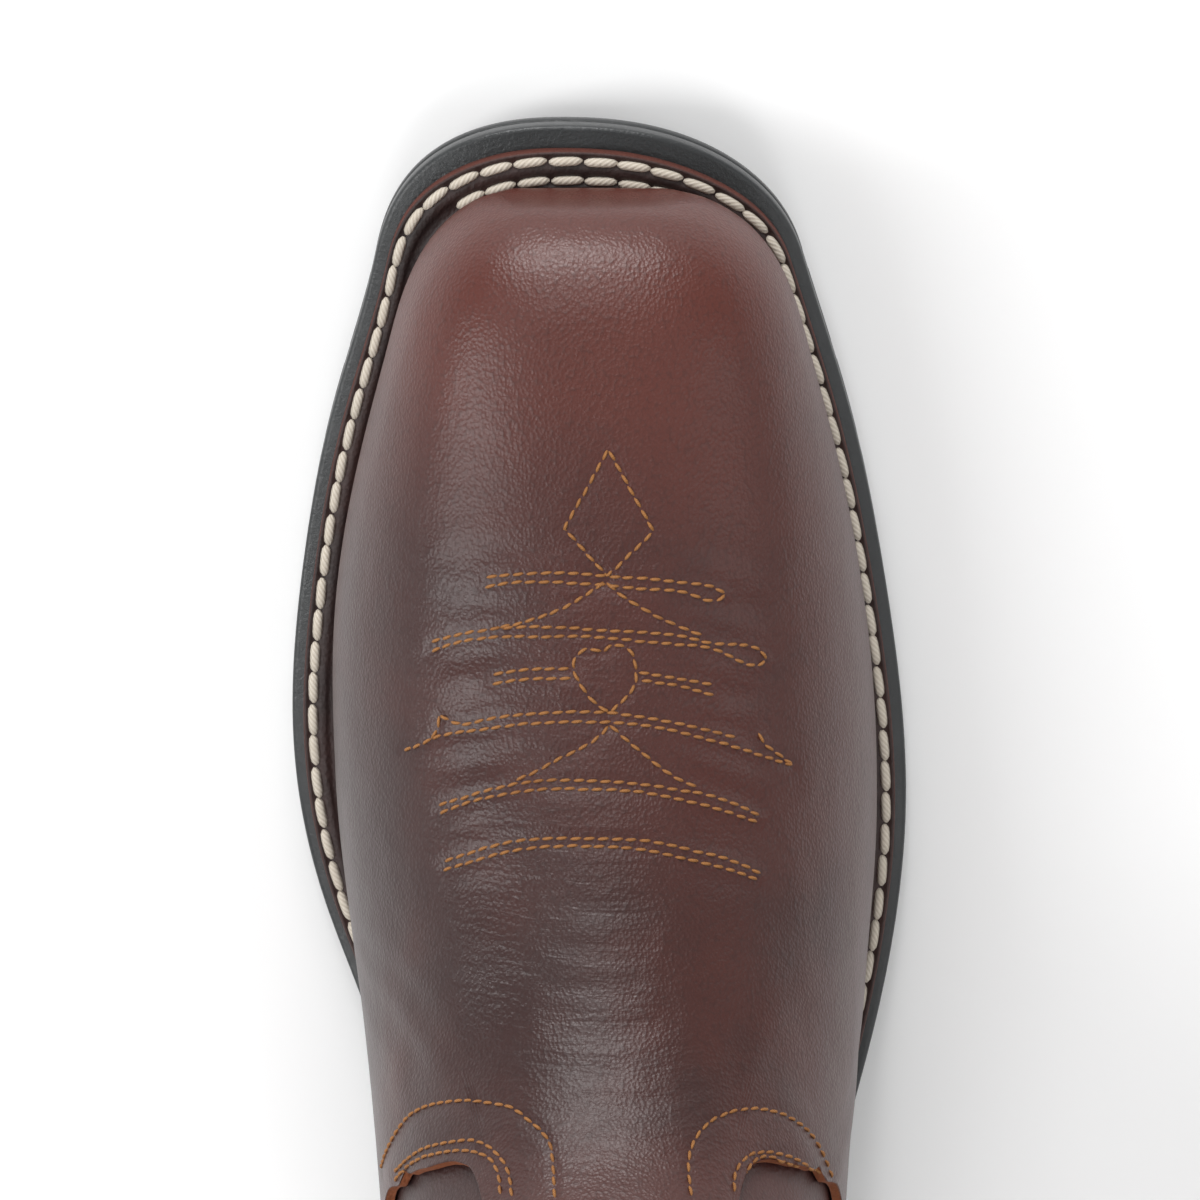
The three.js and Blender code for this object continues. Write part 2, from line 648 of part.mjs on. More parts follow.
// Strap from its outer end over the collar to its inner end. side is 1 on the outer side of the foot.
function pullStrap(side) {
  const overBinding = 2 * clearance + bindingThickness;
  const outward = (depth) => (depth > bindingDepth + 5 ? clearance : overBinding) + strapThickness / 2;
  const inward = (depth) => -upperWall - outward(depth);
  const legs = [1, .75, .5, .33, (bindingDepth + 1) / strapOuterLeg, 0];
  const path = [
    ...legs.map((share) => [outward(share * strapOuterLeg), -share * strapOuterLeg]),
    [outward(0) + 1, .45 * strapLoop], [outward(0) - .4, .85 * strapLoop], [-upperWall / 2, strapLoop],
    [inward(0) + .4, .85 * strapLoop], [inward(0) - 1, .45 * strapLoop],
    ...[0, .28, .45, .7, 1].map((share) => [inward(share * strapInnerLeg), -share * strapInnerLeg]),
  ];
  const halfRound = 175;
  const loops = path.map(([distance, rise], i) => {
    const before = path[Math.max(0, i - 1)];
    const after = path[Math.min(path.length - 1, i + 1)];
    const [u, v] = [after[0] - before[0], after[1] - before[1]];
    const [du, dv] = [v, -u].map((value) => value / Math.hypot(u, v) * strapThickness / 2);
    const point = (across, sign) => {
      const turn = side * (.5 + across / halfRound);
      const [d, z] = [distance + sign * du, rise + sign * dv];
      if (z < 0) return shell(turn, ringBelow(turn, -z), d);
      const [along, out, height] = shell(turn, lastRing, d);
      return [along, out, height + z];
    };
    const acrosses = [-.5, 0, .5].map((share) => share * strapWidth);
    return [...acrosses.map((across) => point(across, 1)), ...acrosses.reverse().map((across) => point(across, -1))];
  });
  return solid(loops);
}

const group = new THREE.Group();
group.name = 'western_work_boot_right';

function add(name, geometry, color, roughness) {
  const flat = geometry.toNonIndexed();
  flat.computeVertexNormals();
  const mesh = new THREE.Mesh(flat, new THREE.MeshStandardMaterial({ color, roughness, metalness: 0 }));
  mesh.name = name;
  group.add(mesh);
}

add('outsole', outsole(), 0x24252a, .75);
add('heel_block', heelBlock(), 0x2a2422, .7);
add('top_lift', topLift(), 0x202124, .8);
add('welt', welt(), 0x3a2a26, .6);
add('insole', insole(), 0xa98a66, .85);
add('upper', upper(), 0x5e3630, .55);
add('vamp', vamp(), 0x6b3d35, .5);
add('counter', counter(), 0x6b3d35, .5);
add('side_seam_inner', sideSeam(-1), 0x4a2a25, .55);
add('side_seam_outer', sideSeam(1), 0x4a2a25, .55);
add('collar_binding', collarBinding(), 0x3c2420, .55);
add('pull_strap_inner', pullStrap(-1), 0x55302a, .6);
add('pull_strap_outer', pullStrap(1), 0x55302a, .6);

export default group;
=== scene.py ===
import math
import random
import bpy
import numpy as np
from mathutils import Matrix, Vector
from mathutils.bvhtree import BVHTree


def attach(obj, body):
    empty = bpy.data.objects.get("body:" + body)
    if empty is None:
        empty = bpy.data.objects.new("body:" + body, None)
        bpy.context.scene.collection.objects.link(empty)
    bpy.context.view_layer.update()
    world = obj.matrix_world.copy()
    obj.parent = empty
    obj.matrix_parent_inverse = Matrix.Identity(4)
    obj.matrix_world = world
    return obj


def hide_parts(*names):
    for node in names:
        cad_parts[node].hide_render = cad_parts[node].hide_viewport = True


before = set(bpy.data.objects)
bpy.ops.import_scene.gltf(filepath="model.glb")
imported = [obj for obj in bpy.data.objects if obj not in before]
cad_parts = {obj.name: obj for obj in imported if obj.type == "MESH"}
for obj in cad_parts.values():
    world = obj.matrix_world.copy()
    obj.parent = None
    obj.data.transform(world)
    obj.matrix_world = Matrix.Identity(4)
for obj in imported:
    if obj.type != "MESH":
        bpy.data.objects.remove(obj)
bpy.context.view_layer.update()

for loaded in bpy.context.selected_objects:
    loaded.select_set(False)
random.seed(4)

# Sizes in millimetres. The sole's toe tip is at along 0, the outer side of the foot is across +.
boot = dict(length=313, ball=117.4, height=305, shaft=94, instep=91, gap=.3, overlayGap=.5)
sole = dict(thick=9, seat=5, heelHeight=38, spring=9.5, levelStart=.31, levelEnd=.425, shankEnd=.875, welt=3.2,
            weltInset=2.3, weltTongue=7, tip=-7, tipReach=26, backReach=34, full=2.3, rim=.9, rib=.8, insole=3.5,
            heelLength=75, heelInset=.6, heelTaper=2.6, breastHollow=5, lift=7, grooveDeep=3, grooveWide=4.5,
            groovePitch=17, grooveSweep=9, treadStart=24, treadEnd=158, heelGrooves=(.2, .74, .9))
last = dict(wall=2.4, overlay=1.8, toeSetback=7.9, heelSetback=3.2, toeReach=30, toeFull=3, heelReach=34,
            heelFull=2.2, tuckHeight=11, counter=50, backLean=4.6, backBulge=22)
length, ball = boot["length"], boot["ball"]
cover = boot["overlayGap"] + last["overlay"]

# along, sole inner, sole outer, inner, outer, centre, tuck, rise, boxy: shares of the sizes above
footSections = np.array([
    [0, .335, .264, .281, .273, -.043, .03, .36, 3.2],
    [.067, .348, .309, .300, .293, -.020, .023, .41, 3.1],
    [.179, .427, .399, .371, .366, -.010, .023, .522, 2.7],
    [.288, .483, .461, .425, .425, -.004, .023, .637, 2.4],
    [.383, .501, .495, .430, .448, .002, .023, .764, 2.25],
    [.438, .489, .501, .421, .448, .007, .023, .863, 2.2],
    [.502, .448, .489, .400, .437, .012, .024, 1, 2.2],
    [.575, .375, .451, .371, .412, .015, .032, 1.187, 2.5],
    [.665, .318, .385, .343, .386, .016, .05, 1.407, 2.8],
    [.767, .296, .350, .320, .358, .017, .036, 1.593, 3.1],
    [.911, .300, .337, .292, .327, .017, .014, 1.758, 3.1],
    [1, .288, .322, .280, .314, .017, .014, 1.813, 3.1]])
# rings round the foot: height on the front of the toe box or place on the top line, then height at the back
footRings = [(0, None, 0), (.13, None, .06), (.31, None, .14), (.50, None, .23), (.67, None, .31), (.80, None, .39),
             (None, .070, .47), (None, .104, .55), (None, .149, .62), (None, .204, .70), (None, .265, .78),
             (None, .328, .86), (None, .392, .93), (None, .450, 1)]
# rings up the shaft: front, back, front height, side height, back height, width, fullness
shaftRings = [(.560, .962, .440, .413, .388, .855, 2.6), (.569, .955, .520, .500, .480, .865, 2.45),
              (.562, .952, .630, .620, .600, .89, 2.35), (.543, .953, .750, .755, .735, .93, 2.3),
              (.520, .957, .850, .885, .860, .97, 2.3), (.505, .960, .922, 1, .941, 1, 2.3)]
lastRing = len(footRings) + len(shaftRings) - 1
# top edge of the vamp and the counter: share of the way back (1 side seam, 2 back) and ring
overlayEdge = np.array([
    [0, 14.85], [.1, 14.75], [.19, 14.5], [.25, 14.15], [.272, 13.85], [.276, 13.62], [.295, 13.46], [.34, 13.36],
    [.42, 13.24], [.5, 13.08], [.57, 12.8], [.64, 12.1], [.71, 11.5], [.8, 11], [.92, 10.7], [1.08, 10.7],
    [1.25, 11.1], [1.45, 12], [1.65, 13], [1.82, 13.7], [1.93, 14.05], [2, 14.15]])
seamAlong = .72 * length


# Curves through the tables

def splineBends(xs, ys):
    n = len(xs)
    bend, work = np.zeros_like(ys), np.zeros_like(ys)
    for i in range(1, n - 1):
        ratio = (xs[i] - xs[i - 1]) / (xs[i + 1] - xs[i - 1])
        pivot = ratio * bend[i - 1] + 2
        kink = (ys[i + 1] - ys[i]) / (xs[i + 1] - xs[i]) - (ys[i] - ys[i - 1]) / (xs[i] - xs[i - 1])
        bend[i] = (ratio - 1) / pivot
        work[i] = (6 * kink / (xs[i + 1] - xs[i - 1]) - ratio * work[i - 1]) / pivot
    bend[n - 1] = 0
    for i in range(n - 2, -1, -1):
        bend[i] = bend[i] * bend[i + 1] + work[i]
    bend[0] = 0
    return bend


def curveThrough(xs, ys):
    xs, ys = np.asarray(xs, float), np.asarray(ys, float)
    bend = splineBends(xs, ys)

    def at(x):
        x = np.asarray(x, float)
        i = np.clip(np.searchsorted(xs, x, side="right") - 1, 0, len(xs) - 2)
        wide = xs[i + 1] - xs[i]
        a = (xs[i + 1] - x) / wide
        b = 1 - a
        return a * ys[i] + b * ys[i + 1] + ((a ** 3 - a) * bend[i] + (b ** 3 - b) * bend[i + 1]) * wide ** 2 / 6
    return at


def column(index, size):
    return curveThrough(footSections[:, 0] * length, footSections[:, index] * size)


soleInner, soleOuter, innerSide, outerSide, centreLine, tuckDepth = [column(i, ball) for i in range(1, 7)]
rise, boxy = column(7, boot["instep"]), column(8, 1)
heelOffset = float(soleOuter(length) - soleInner(length)) / 2
heelHalf = float(soleOuter(length) + soleInner(length)) / 2
originAlong = length - sole["heelLength"] / 2


def smoothStep(low, high, value):
    t = np.clip((np.asarray(value, float) - low) / (high - low), 0, 1)
    return t * t * t * (10 - 15 * t + 6 * t * t)


def bed(along):
    along = np.asarray(along, float)
    start, end, shank = sole["levelStart"] * length, sole["levelEnd"] * length, sole["shankEnd"] * length
    climb = .9 * smoothStep(end, shank, along) + .1 * np.maximum(0, (along - end) / (length - end)) ** 2
    return (sole["thick"] + sole["spring"] * np.maximum(0, 1 - along / start) ** 2
            + (sole["heelHeight"] + sole["seat"] - sole["thick"]) * climb)


def tread(along):
    thin = smoothStep(sole["levelEnd"] * length, sole["shankEnd"] * length, along)
    return bed(along) - sole["thick"] + (sole["thick"] - sole["seat"]) * thin


def weltTop(along):
    return bed(along) + boot["gap"] + sole["welt"]


def feather(along):
    return weltTop(along) + boot["gap"]


def place(points):
    # along, across, height in millimetres to the frame in metres
    points = np.asarray(points, float)
    return np.stack([heelOffset - points[..., 1], points[..., 0] - originAlong, points[..., 2]], -1) / 1000


# Surface of the upper

def tuck(along, height):
    return tuckDepth(along) * np.maximum(0, 1 - height / last["tuckHeight"]) ** 2


def toeFront(height):
    return last["toeSetback"] + cover + tuck(0, height)


def heelEnd(height):
    lean = ((height - last["backBulge"]) / (last["counter"] - last["backBulge"])) ** 2
    return length - last["heelSetback"] - cover - last["backLean"] * lean


def opening(along, height):
    share = np.clip(height / (rise(along) - cover), 0, 1)
    return (1 - share ** boxy(along)) ** (1 / boxy(along))


def toeGap(along, height):
    return np.maximum(0, 1 - (along - toeFront(height)) / last["toeReach"])


def heelGap(along, height):
    return np.maximum(0, 1 - (heelEnd(height) - along) / last["heelReach"])


def crossing(f, low, high):
    for _ in range(50):
        middle = (low + high) / 2
        if f(middle) < 0:
            low = middle
        else:
            high = middle
    return (low + high) / 2


def footRing(row, side, steps=900):
    wall, top, back = row
    start = toeFront(0) if top is None else top * length
    if top is None:
        first = wall * (rise(0) - cover)
    else:
        gap = toeGap(start, last["tuckHeight"])
        first = (rise(start) - cover) * (1 - gap ** boxy(start)) ** (1 / boxy(start))
    final = back * last["counter"]
    far = heelEnd(final)

    def height(a):
        return first + (final - first) * (a - start) / (far - start)
    front = start
    if top is None:
        front = crossing(lambda a: opening(a, height(a)) - toeGap(a, height(a)), toeFront(0) - 1, length / 2)
    rear = -crossing(lambda a: opening(-a, height(-a)) - heelGap(-a, height(-a)), -length, -length / 2)
    t = np.linspace(0, 1, steps)
    along = front + (rear - front) * np.where(t < .5, 8 * t ** 4, 1 - 8 * (1 - t) ** 4)
    h = height(along)
    atToe = along < length / 2
    gap = np.where(atToe, toeGap(along, h), heelGap(along, h))
    full = np.where(atToe, last["toeFull"], last["heelFull"])
    share = np.maximum(0, opening(along, h) ** full - gap ** full) ** (1 / full)
    share[0] = share[-1] = 0
    half = (innerSide(along) if side < 0 else outerSide(along)) - cover - tuck(along, h)
    centre = centreLine(along)
    return np.stack([along, centre + side * (half - side * centre) * share, feather(along) + h], 1)


def shaftRing(row, side, steps=900):
    front, back, frontUp, sideUp, backUp, width, full = row
    angle = np.linspace(0, math.pi, steps)
    cosine, sine = np.cos(angle), np.maximum(0, np.sin(angle))
    power = 2 / full
    share = (1 - np.sign(cosine) * np.abs(cosine) ** power) / 2
    up = frontUp + (backUp - frontUp) * (1 - cosine) / 2 + (sideUp - (frontUp + backUp) / 2) * sine ** 2
    return np.stack([length * (front + (back - front) * share),
                     heelOffset + side * boot["shaft"] * width / 2 * sine ** power, boot["height"] * up], 1)


def running(points):
    steps = np.sqrt((np.diff(points, axis=0) ** 2).sum(1))
    return np.concatenate([[0], np.cumsum(steps)])


def atShares(points, shares):
    run = running(points)
    return np.stack([np.interp(np.asarray(shares) * run[-1], run, points[:, k]) for k in range(points.shape[1])], -1)


ringLines = [{side: footRing(row, side) for side in (-1, 1)} for row in footRings]
ringLines += [{side: shaftRing(row, side) for side in (-1, 1)} for row in shaftRings]


class Meridians:
    # curves up the upper at a list of turns: 0 front, 1 back, negative on the inner side
    def __init__(self, turns):
        turns = np.asarray(turns, float)
        turns = np.where(turns > 1, turns - 2, np.where(turns < -1, turns + 2, turns))
        rows = []
        for lines in ringLines:
            outer, inner = atShares(lines[1], np.abs(turns)), atShares(lines[-1], np.abs(turns))
            rows.append(np.where((turns < 0)[:, None], inner, outer))
        self.points = np.array(rows)
        gaps = np.sqrt((np.diff(self.points, axis=0) ** 2).sum(2))
        self.knots = np.concatenate([np.zeros((1, len(turns))), np.cumsum(gaps, axis=0)])
        knots = np.repeat(self.knots[:, :, None], 3, 2)
        self.bends = splineBends(knots, self.points.copy())

    def at(self, rings):
        # rings: one row of values per row of points, or a flat list for all columns
        count = self.knots.shape[1]
        rings = np.asarray(rings, float)
        if rings.ndim == 1:
            rings = np.repeat(rings[:, None], count, 1)
        low = np.clip(np.floor(rings).astype(int), 0, lastRing - 1)
        columns = np.arange(count)[None, :]
        k0, k1 = self.knots[low, columns], self.knots[low + 1, columns]
        b = (rings - low)[..., None]
        a = 1 - b
        wide = (k1 - k0)[..., None]
        bending = (a ** 3 - a) * self.bends[low, columns] + (b ** 3 - b) * self.bends[low + 1, columns]
        return a * self.points[low, columns] + b * self.points[low + 1, columns] + bending * wide ** 2 / 6


class Skin:
    # the upper's outside at a set of columns, with outward normals
    def __init__(self, turns):
        self.turns = np.asarray(turns, float)
        self.middle = Meridians(self.turns)
        self.sides = [Meridians(self.turns + step) for step in (.004, -.004)]

    def shell(self, rings, distance):
        rings = np.asarray(rings, float)
        if rings.ndim == 1:
            rings = np.repeat(rings[:, None], len(self.turns), 1)
        points = self.middle.at(rings)
        turn = self.sides[0].at(rings) - self.sides[1].at(rings)
        up = self.middle.at(np.minimum(lastRing, rings + .05)) - self.middle.at(np.maximum(0, rings - .05))
        normal = -np.cross(turn, up)
        level = np.clip(np.minimum(rings, (lastRing - rings) * 2), 0, 1)
        normal[..., 2] *= level
        normal /= np.linalg.norm(normal, axis=-1, keepdims=True)
        distance = np.asarray(distance, float)
        moved = points + normal * (distance[..., None] if distance.ndim else distance)
        foot = rings <= 0
        moved[..., 2] = np.where(foot, feather(moved[..., 0]), moved[..., 2])
        return moved


def pairShell(turns, rings, distance):
    return Skin(turns).shell(np.asarray(rings, float)[None, :], np.asarray(distance, float)
                             if np.ndim(distance) == 0 else np.asarray(distance)[None, :])[0]


ringGrid = np.linspace(0, lastRing, 200)
seamTable = {}
for side in (-1, 1):
    probe = np.linspace(.2, .95, 160)
    alongs = Meridians(side * probe).at(ringGrid)[..., 0]
    seamTable[side] = np.array([np.interp(seamAlong, alongs[i], probe) for i in range(len(ringGrid))])


def turnAt(side, back, ring):
    seam = np.where(side < 0, np.interp(ring, ringGrid, seamTable[-1]), np.interp(ring, ringGrid, seamTable[1]))
    return side * np.where(back < 1, seam * back, seam + (1 - seam) * (back - 1))


print("surface ready")


# Meshes

def pickOnly(piece):
    bpy.ops.object.select_all(action="DESELECT")
    bpy.context.view_layer.objects.active = piece
    piece.select_set(True)


def faceOutward(piece):
    pickOnly(piece)
    bpy.ops.object.mode_set(mode="EDIT")
    bpy.ops.mesh.select_all(action="SELECT")
    bpy.ops.mesh.normals_make_consistent(inside=False)
    bpy.ops.object.mode_set(mode="OBJECT")
    piece.select_set(False)


def newPiece(name, points, faces, material, replaced=(), edge=None, smooth=True):
    mesh = bpy.data.meshes.new(name)
    mesh.from_pydata([tuple(p) for p in place(points)], [], [tuple(f) for f in faces])
    mesh.validate()
    piece = bpy.data.objects.new(name, mesh)
    bpy.context.scene.collection.objects.link(piece)
    if edge is not None:
        layer = mesh.attributes.new("edge", "FLOAT", "POINT")
        layer.data.foreach_set("value", np.asarray(edge, float))
    mesh.polygons.foreach_set("use_smooth", [smooth] * len(mesh.polygons))
    if material:
        mesh.materials.append(material)
    faceOutward(piece)
    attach(piece, "root")
    if replaced:
        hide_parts(*replaced)
    return piece


def loopFaces(rows, count, joined, closedRows=True):
    # quads between loops of equally many points, and ladders over the two ends of an open stack
    faces = []
    for k in range(rows if joined else rows - 1):
        a, b = k * count, ((k + 1) % rows) * count
        for i in range(count if closedRows else count - 1):
            j = (i + 1) % count
            faces.append((a + i, a + j, b + j, b + i))
    if not joined:
        for base, turned in ((0, True), ((rows - 1) * count, False)):
            for i in range(count):
                if 2 * i >= count - 1:
                    break
                ids = [i, i + 1, count - 1 - i, (count - i) % count]
                ids = [base + v for v in dict.fromkeys(ids)]
                if len(ids) > 2:
                    faces.append(tuple(reversed(ids)) if turned else tuple(ids))
    return faces


def loopPiece(name, loops, material, replaced=(), joined=False, edge=None):
    loops = np.array(loops)
    faces = loopFaces(loops.shape[0], loops.shape[1], joined)
    values = None if edge is None else np.repeat(np.asarray(edge, float), loops.shape[1])
    return newPiece(name, loops.reshape(-1, 3), faces, material, replaced, values)


def applyModifier(piece, kind, **settings):
    modifier = piece.modifiers.new(kind.lower(), kind)
    for key, value in settings.items():
        setattr(modifier, key, value)
    pickOnly(piece)
    bpy.ops.object.modifier_apply(modifier=modifier.name)
    piece.select_set(False)


def insetLoop(loop, distance):
    before, after = loop - np.roll(loop, 1, 0), np.roll(loop, -1, 0) - loop
    a = np.stack([before[:, 1], -before[:, 0]], 1) / np.linalg.norm(before, axis=1, keepdims=True)
    b = np.stack([after[:, 1], -after[:, 0]], 1) / np.linalg.norm(after, axis=1, keepdims=True)
    return loop + (a + b) * (distance / (1 + (a * b).sum(1)))[:, None]


def atHeight(loop, height):
    return np.concatenate([loop[:, :2], np.broadcast_to(height(loop[:, 0]), (len(loop),))[:, None]], 1)


# Shader building

class Value:
    # a number socket that adds its Math nodes as it is used in an expression
    def __init__(self, shader, socket):
        self.shader, self.socket = shader, socket

    def maths(self, operation, *others):
        return self.shader.node("ShaderNodeMath", dict(operation=operation), {i: v for i, v in enumerate(others)})

    def __add__(self, other):
        return self.maths("ADD", self, other)

    def __radd__(self, other):
        return self.maths("ADD", other, self)

    def __sub__(self, other):
        return self.maths("SUBTRACT", self, other)

    def __rsub__(self, other):
        return self.maths("SUBTRACT", other, self)

    def __mul__(self, other):
        return self.maths("MULTIPLY", self, other)

    def __rmul__(self, other):
        return self.maths("MULTIPLY", other, self)


class Shader:
    def __init__(self, name, **sockets):
        self.material = bpy.data.materials.new(name)
        self.material.use_nodes = True
        self.tree = self.material.node_tree
        self.surface = self.tree.nodes["Principled BSDF"]
        for key, value in sockets.items():
            self.surface.inputs[key.replace("_", " ")].default_value = value
        self.objectPlace = self.node("ShaderNodeTexCoord", {}, {}, "Object")

    def node(self, kind, settings, inputs, output=0):
        made = self.tree.nodes.new(kind)
        stops = settings.pop("stops", None)
        for key, value in settings.items():
            setattr(made, key, value)
        if stops:
            ramp = made.color_ramp
            while len(ramp.elements) < len(stops):
                ramp.elements.new(1)
            for element, (position, colour) in zip(ramp.elements, stops):
                element.position = position
                element.color = (*colour, 1) if len(colour) == 3 else colour
        for key, value in inputs.items():
            if isinstance(value, Value):
                self.tree.links.new(value.socket, made.inputs[key])
            else:
                made.inputs[key].default_value = value
        return Value(self, made.outputs[output])

    def feed(self, socket, value):
        self.tree.links.new(value.socket, self.surface.inputs[socket])

    def stretched(self, scale, turn=(0, 0, 0)):
        return self.node("ShaderNodeMapping", {}, {"Vector": self.objectPlace, "Scale": scale, "Rotation": turn})

    def noise(self, scale, detail=3, roughness=.55, vector=None, distortion=0):
        sockets = {"Vector": vector or self.objectPlace, "Scale": scale, "Detail": detail, "Roughness": roughness}
        return self.node("ShaderNodeTexNoise", {}, dict(sockets, Distortion=distortion))

    def cells(self, scale, vector=None):
        return self.node("ShaderNodeTexVoronoi", {}, {"Vector": vector or self.objectPlace, "Scale": scale}, "Distance")

    def between(self, value, low, high, toLow=0, toHigh=1):
        return self.node("ShaderNodeMapRange", dict(interpolation_type="SMOOTHSTEP"),
                         {"Value": value, "From Min": low, "From Max": high, "To Min": toLow, "To Max": toHigh})

    def mix(self, factor, a, b, blend="MIX"):
        made = self.tree.nodes.new("ShaderNodeMix")
        made.data_type, made.blend_type = "RGBA", blend
        for key, value in ((0, factor), (6, a), (7, b)):
            if isinstance(value, Value):
                self.tree.links.new(value.socket, made.inputs[key])
            else:
                made.inputs[key].default_value = value if key == 0 else (*value, 1)
        return Value(self, made.outputs[2])

    def bump(self, height, strength, distance, normal=None):
        inputs = {"Height": height, "Strength": strength, "Distance": distance}
        if normal:
            inputs["Normal"] = normal
        return self.node("ShaderNodeBump", {}, inputs)


def srgb(r, g, b):
    return tuple((v / 255 / 12.92) if v <= 10.3 else ((v / 255 + .055) / 1.055) ** 2.4 for v in (r, g, b))

# Stitched seams on the vamp as plan paths (along, across); the first value says whether the line is smooth
seams = [
    [False, (49.4, 1.5), (63.3, -6.4), (71.6, 1.3), (63.8, 9.6), (49.4, 1.5)],
    [True, (72.4, -20.7), (71.3, -12.6), (71, -6.1), (71.6, 1.3), (72.1, 8.8), (73.2, 15.5), (75.1, 21.7),
     (75.9, 22.7)],
    [True, (74.4, -21), (73.3, -16.9), (72.7, -7.1), (73.2, 1.3), (73.9, 8.7), (75.1, 16), (76.6, 21.4),
     (75.9, 22.7)],
    [True, (72.6, 1), (74.7, -2.3), (77.4, -7.2), (79.4, -12.3), (81.2, -18.3)],
    [True, (72.6, 1), (74.3, 3), (77.3, 7.7), (80.2, 13.1), (82.6, 18.5)],
    [True, (85.5, -30.7), (83.9, -27.2), (82.5, -23.4), (81.2, -18), (80.5, -10.3), (80.8, -1.8), (81.3, 6),
     (82.3, 14.3), (84.2, 20.8), (87.6, 29.6), (88.8, 30.1)],
    [True, (87.2, -30.7), (84.8, -26.1), (82.7, -17.8), (82.2, -9.9), (82.1, -1.8), (82.8, 6), (83.8, 14.2),
     (86.1, 22.4), (89.1, 29.1), (88.8, 30.1)],
    [True, (84.8, 0.5), (84.3, -2.7), (87.1, -4.8), (89.7, -3.8), (92.5, -1.8), (95.2, 1.7)],
    [True, (95.2, 1.7), (93, 4.1), (90.4, 6.3), (87.7, 6.4), (84.3, 5.1), (83.7, 1.8), (84.8, 0.5)],
    [True, (89.3, -19.5), (88.2, -14.2), (87.7, -5.4)],
    [True, (91.1, -19.6), (89.7, -13.5), (89.3, -5)],
    [True, (88.3, 6.7), (89.7, 14.3), (91.3, 20.3)],
    [True, (89.7, 7.3), (91, 14.3), (93.2, 20.7)],
    [True, (98, -29), (98.8, -25.5), (97.8, -21.8), (96, -15.1), (95.1, -7), (95.2, 1.7), (96.2, 8.8), (98.2, 17.1),
     (100.9, 24.5)],
    [True, (100.7, 28.7), (102.7, 29.5), (104.4, 31.1), (108.2, 35.1)],
    [True, (106.1, -35.8), (103.3, -31.5), (101.7, -29), (99.7, -23.2), (97.7, -15.2), (96.8, -7.2), (96.8, 1.4),
     (97.5, 8.8), (99.7, 17), (102.8, 25), (108.2, 35.1)],
    [True, (98, -29), (100.2, -29.3), (102.7, -30.8)],
    [True, (97.3, 1.7), (100.2, -1.6), (102.9, -7.2), (105, -10.9), (107.1, -15.3)],
    [True, (97.3, 1.7), (98.7, 3.5), (102.2, 7.8), (105.5, 12.1), (108.5, 17.5)],
    [True, (113.6, -29.3), (110.8, -23.7), (108.1, -16.8), (106.7, -9.4), (106.6, -1.7), (107.1, 6.3), (108.6, 14.3),
     (110.4, 20.7), (115.1, 29)],
    [True, (115, -29.1), (112, -23.9), (109.4, -16.7), (108.1, -9.3), (108, -1.6), (108.4, 6.3), (110.1, 14.2),
     (112.5, 21.3), (116.1, 28.5)],
    [True, (123, -28.2), (119.5, -21.6), (117.2, -15.3), (116.2, -7), (116.1, 0.9), (116.7, 8.8), (118.9, 16.9),
     (121.3, 23.4), (125, 29.2)],
    [True, (124.7, -28.5), (121.2, -21.7), (118.7, -15.1), (117.5, -7), (117.4, 0.9), (118.3, 8.8), (120.6, 17),
     (123, 23.4), (125.9, 28.6)],
    [True, (184.1, -40.3), (178.3, -39.1), (171.9, -36.8), (166.1, -33.3), (162.7, -29.3), (160.3, -24.8),
     (158.9, -19.6), (158.6, -15.7), (160.1, -11.6), (161.6, -9.2), (164.1, -8.3), (168.3, -8)],
    [True, (179.2, -37.4), (173, -33.9), (168.7, -29.8), (166.4, -26.1), (164.6, -20.6), (165.1, -18.4),
     (166.4, -16.5), (169.4, -15.6)],
    [True, (180.7, -37.4), (172.3, -32.4), (168.3, -27.2), (166.1, -21.8), (166.2, -19.3), (167.3, -18.1),
     (169.7, -17.7)],
    [True, (168.7, 16.1), (165.5, 15.6), (163.1, 16.1), (161.2, 17.9), (160.2, 21), (160.3, 24.8), (161.8, 29.5),
     (164.3, 33.4), (168.8, 37.5), (174.1, 40.2), (180.2, 42.3)],
    [True, (170, 23.7), (167.9, 23.9), (166.8, 25.6), (167.1, 28.4), (168.4, 31.3), (172.6, 36.6), (177.5, 40.1)],
    [True, (170.5, 25.4), (168.7, 25.9), (167.8, 27.5), (168.7, 30.6), (173, 35.8)],
]
